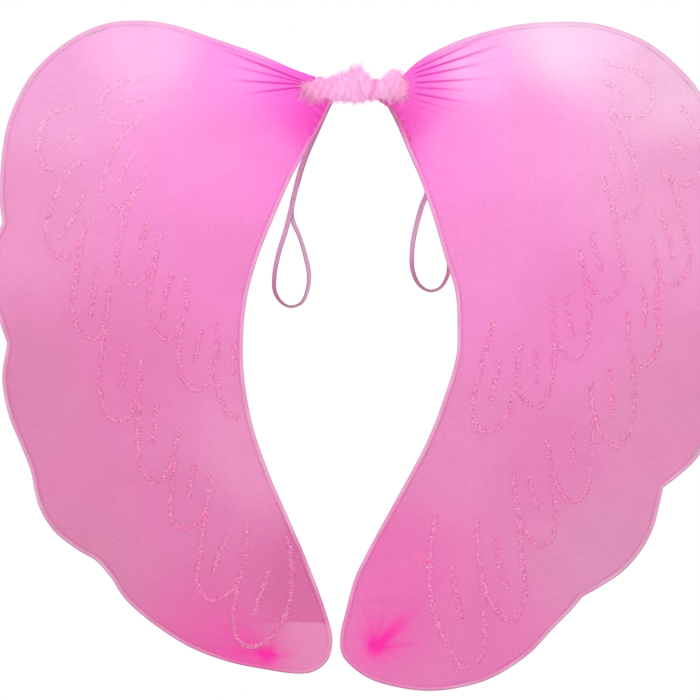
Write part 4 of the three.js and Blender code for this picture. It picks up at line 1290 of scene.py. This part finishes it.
def add_bindings(side, material):
    """Thread round the gathers beside the fur, and round the tied-off tip."""
    for name, node, axis, turns, inset, margin, thickness, seed in (
            ("gather_thread", "gather_binding", 0, 6, 0.35, 0.6, 0.3, 31),
            ("tip_tie", "tip_thread", 1, 5, 0.3, 0.5, 0.26, 37)):
        middle, size = box_mm(f"{side}_{node}")
        half = (size[1 - axis] / 2 - inset, size[2] / 2 - inset)
        points, faces = thread_coil(middle, half, axis, turns, size[axis] - margin, thickness, seed)
        piece = make_mesh(f"{side}_{name}", points, faces, material)
        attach(piece, f"{side}_wing")
        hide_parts(f"{side}_{node}")


# The tuft's radius at each height above the knot's front, and how much of that is seen again from inside.
TUFT_PROFILE = [(5.4, -0.3), (3.6, 0.35), (2.4, 1.6), (2.2, 3.0), (3.0, 5.2), (4.3, 8.0), (4.6, 9.2)]
TUFT_INSIDE_ROWS = 34
TUFT_CLOTH = 0.5       # how thick the tuft's cloth is


def add_tip_tuft(side, material):
    """The cover's tied-off end: pleats drawn into a waist, then a ruffled tuft."""
    low, high = (np.array(c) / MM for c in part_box(f"{side}_tip_knot"))
    x, z = (low[0] + high[0]) / 2, (low[2] + high[2]) / 2
    outside = catmull_rom(TUFT_PROFILE)
    inside = outside[::-1][:TUFT_INSIDE_ROWS] - (TUFT_CLOTH, 0)
    angles = np.arange(96) / 96 * 2 * math.pi
    rows = []
    for radius, height in np.vstack([outside, inside]):
        ruffle = smoothstep(3, 9, height) * 0.34 + 0.06
        r = radius * (1 + ruffle * np.sin(9 * angles + 0.4 * height) + 0.5 * ruffle * np.sin(5 * angles + 2))
        lip = 0.5 * smoothstep(7, 9.2, height) * np.sin(7 * angles)
        rows.append(np.stack([x + r * np.cos(angles), low[1] + height + lip, z + r * np.sin(angles)], axis=1))
    points = np.stack(rows).reshape(-1, 3)
    faces = grid_faces(len(rows), len(angles), close=True) + end_caps(len(rows), len(angles))
    fade = smoothstep(low[1], low[1] + 9, points[:, 1])[:, None]
    colours = HOT_PINK * (1 - 0.6 * fade) + linear((248, 130, 200)) * 0.6 * fade
    piece = make_mesh(f"{side}_tip_tuft", points, [f[::-1] for f in faces], material, colours=colours)
    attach(piece, f"{side}_wing")
    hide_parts(f"{side}_tip_knot")


def finish_cad_nodes(wire, tape):
    """Finishes for the hidden pieces that keep their modelled shape."""
    wires = [f"{side}_{name}_wire{tail}" for side in SIDES
             for name, tail in (("frame", ""), ("upper", "_tail"), ("lower", "_tail"))]
    for name, material in [("binding_tape", tape)] + [(name, wire) for name in wires]:
        obj = bpy.data.objects[name]
        for slot in obj.material_slots:
            slot.material = material


# ---------------------------------------------------------------- the scene

add_camera()
elastic = elastic_material()
add_arm_loops(elastic)
add_stage()

knit = knit_material()
glue, flake = glue_material(), flake_material()
thread = thread_material()
for side in SIDES:
    add_cover(side, knit)
    add_glitter(side, glue, flake)
    add_bindings(side, thread)
    add_tip_tuft(side, knit)
    add_hem(side, knit)
add_fur(fur_material())
finish_cad_nodes(wire_material(), tape_material())
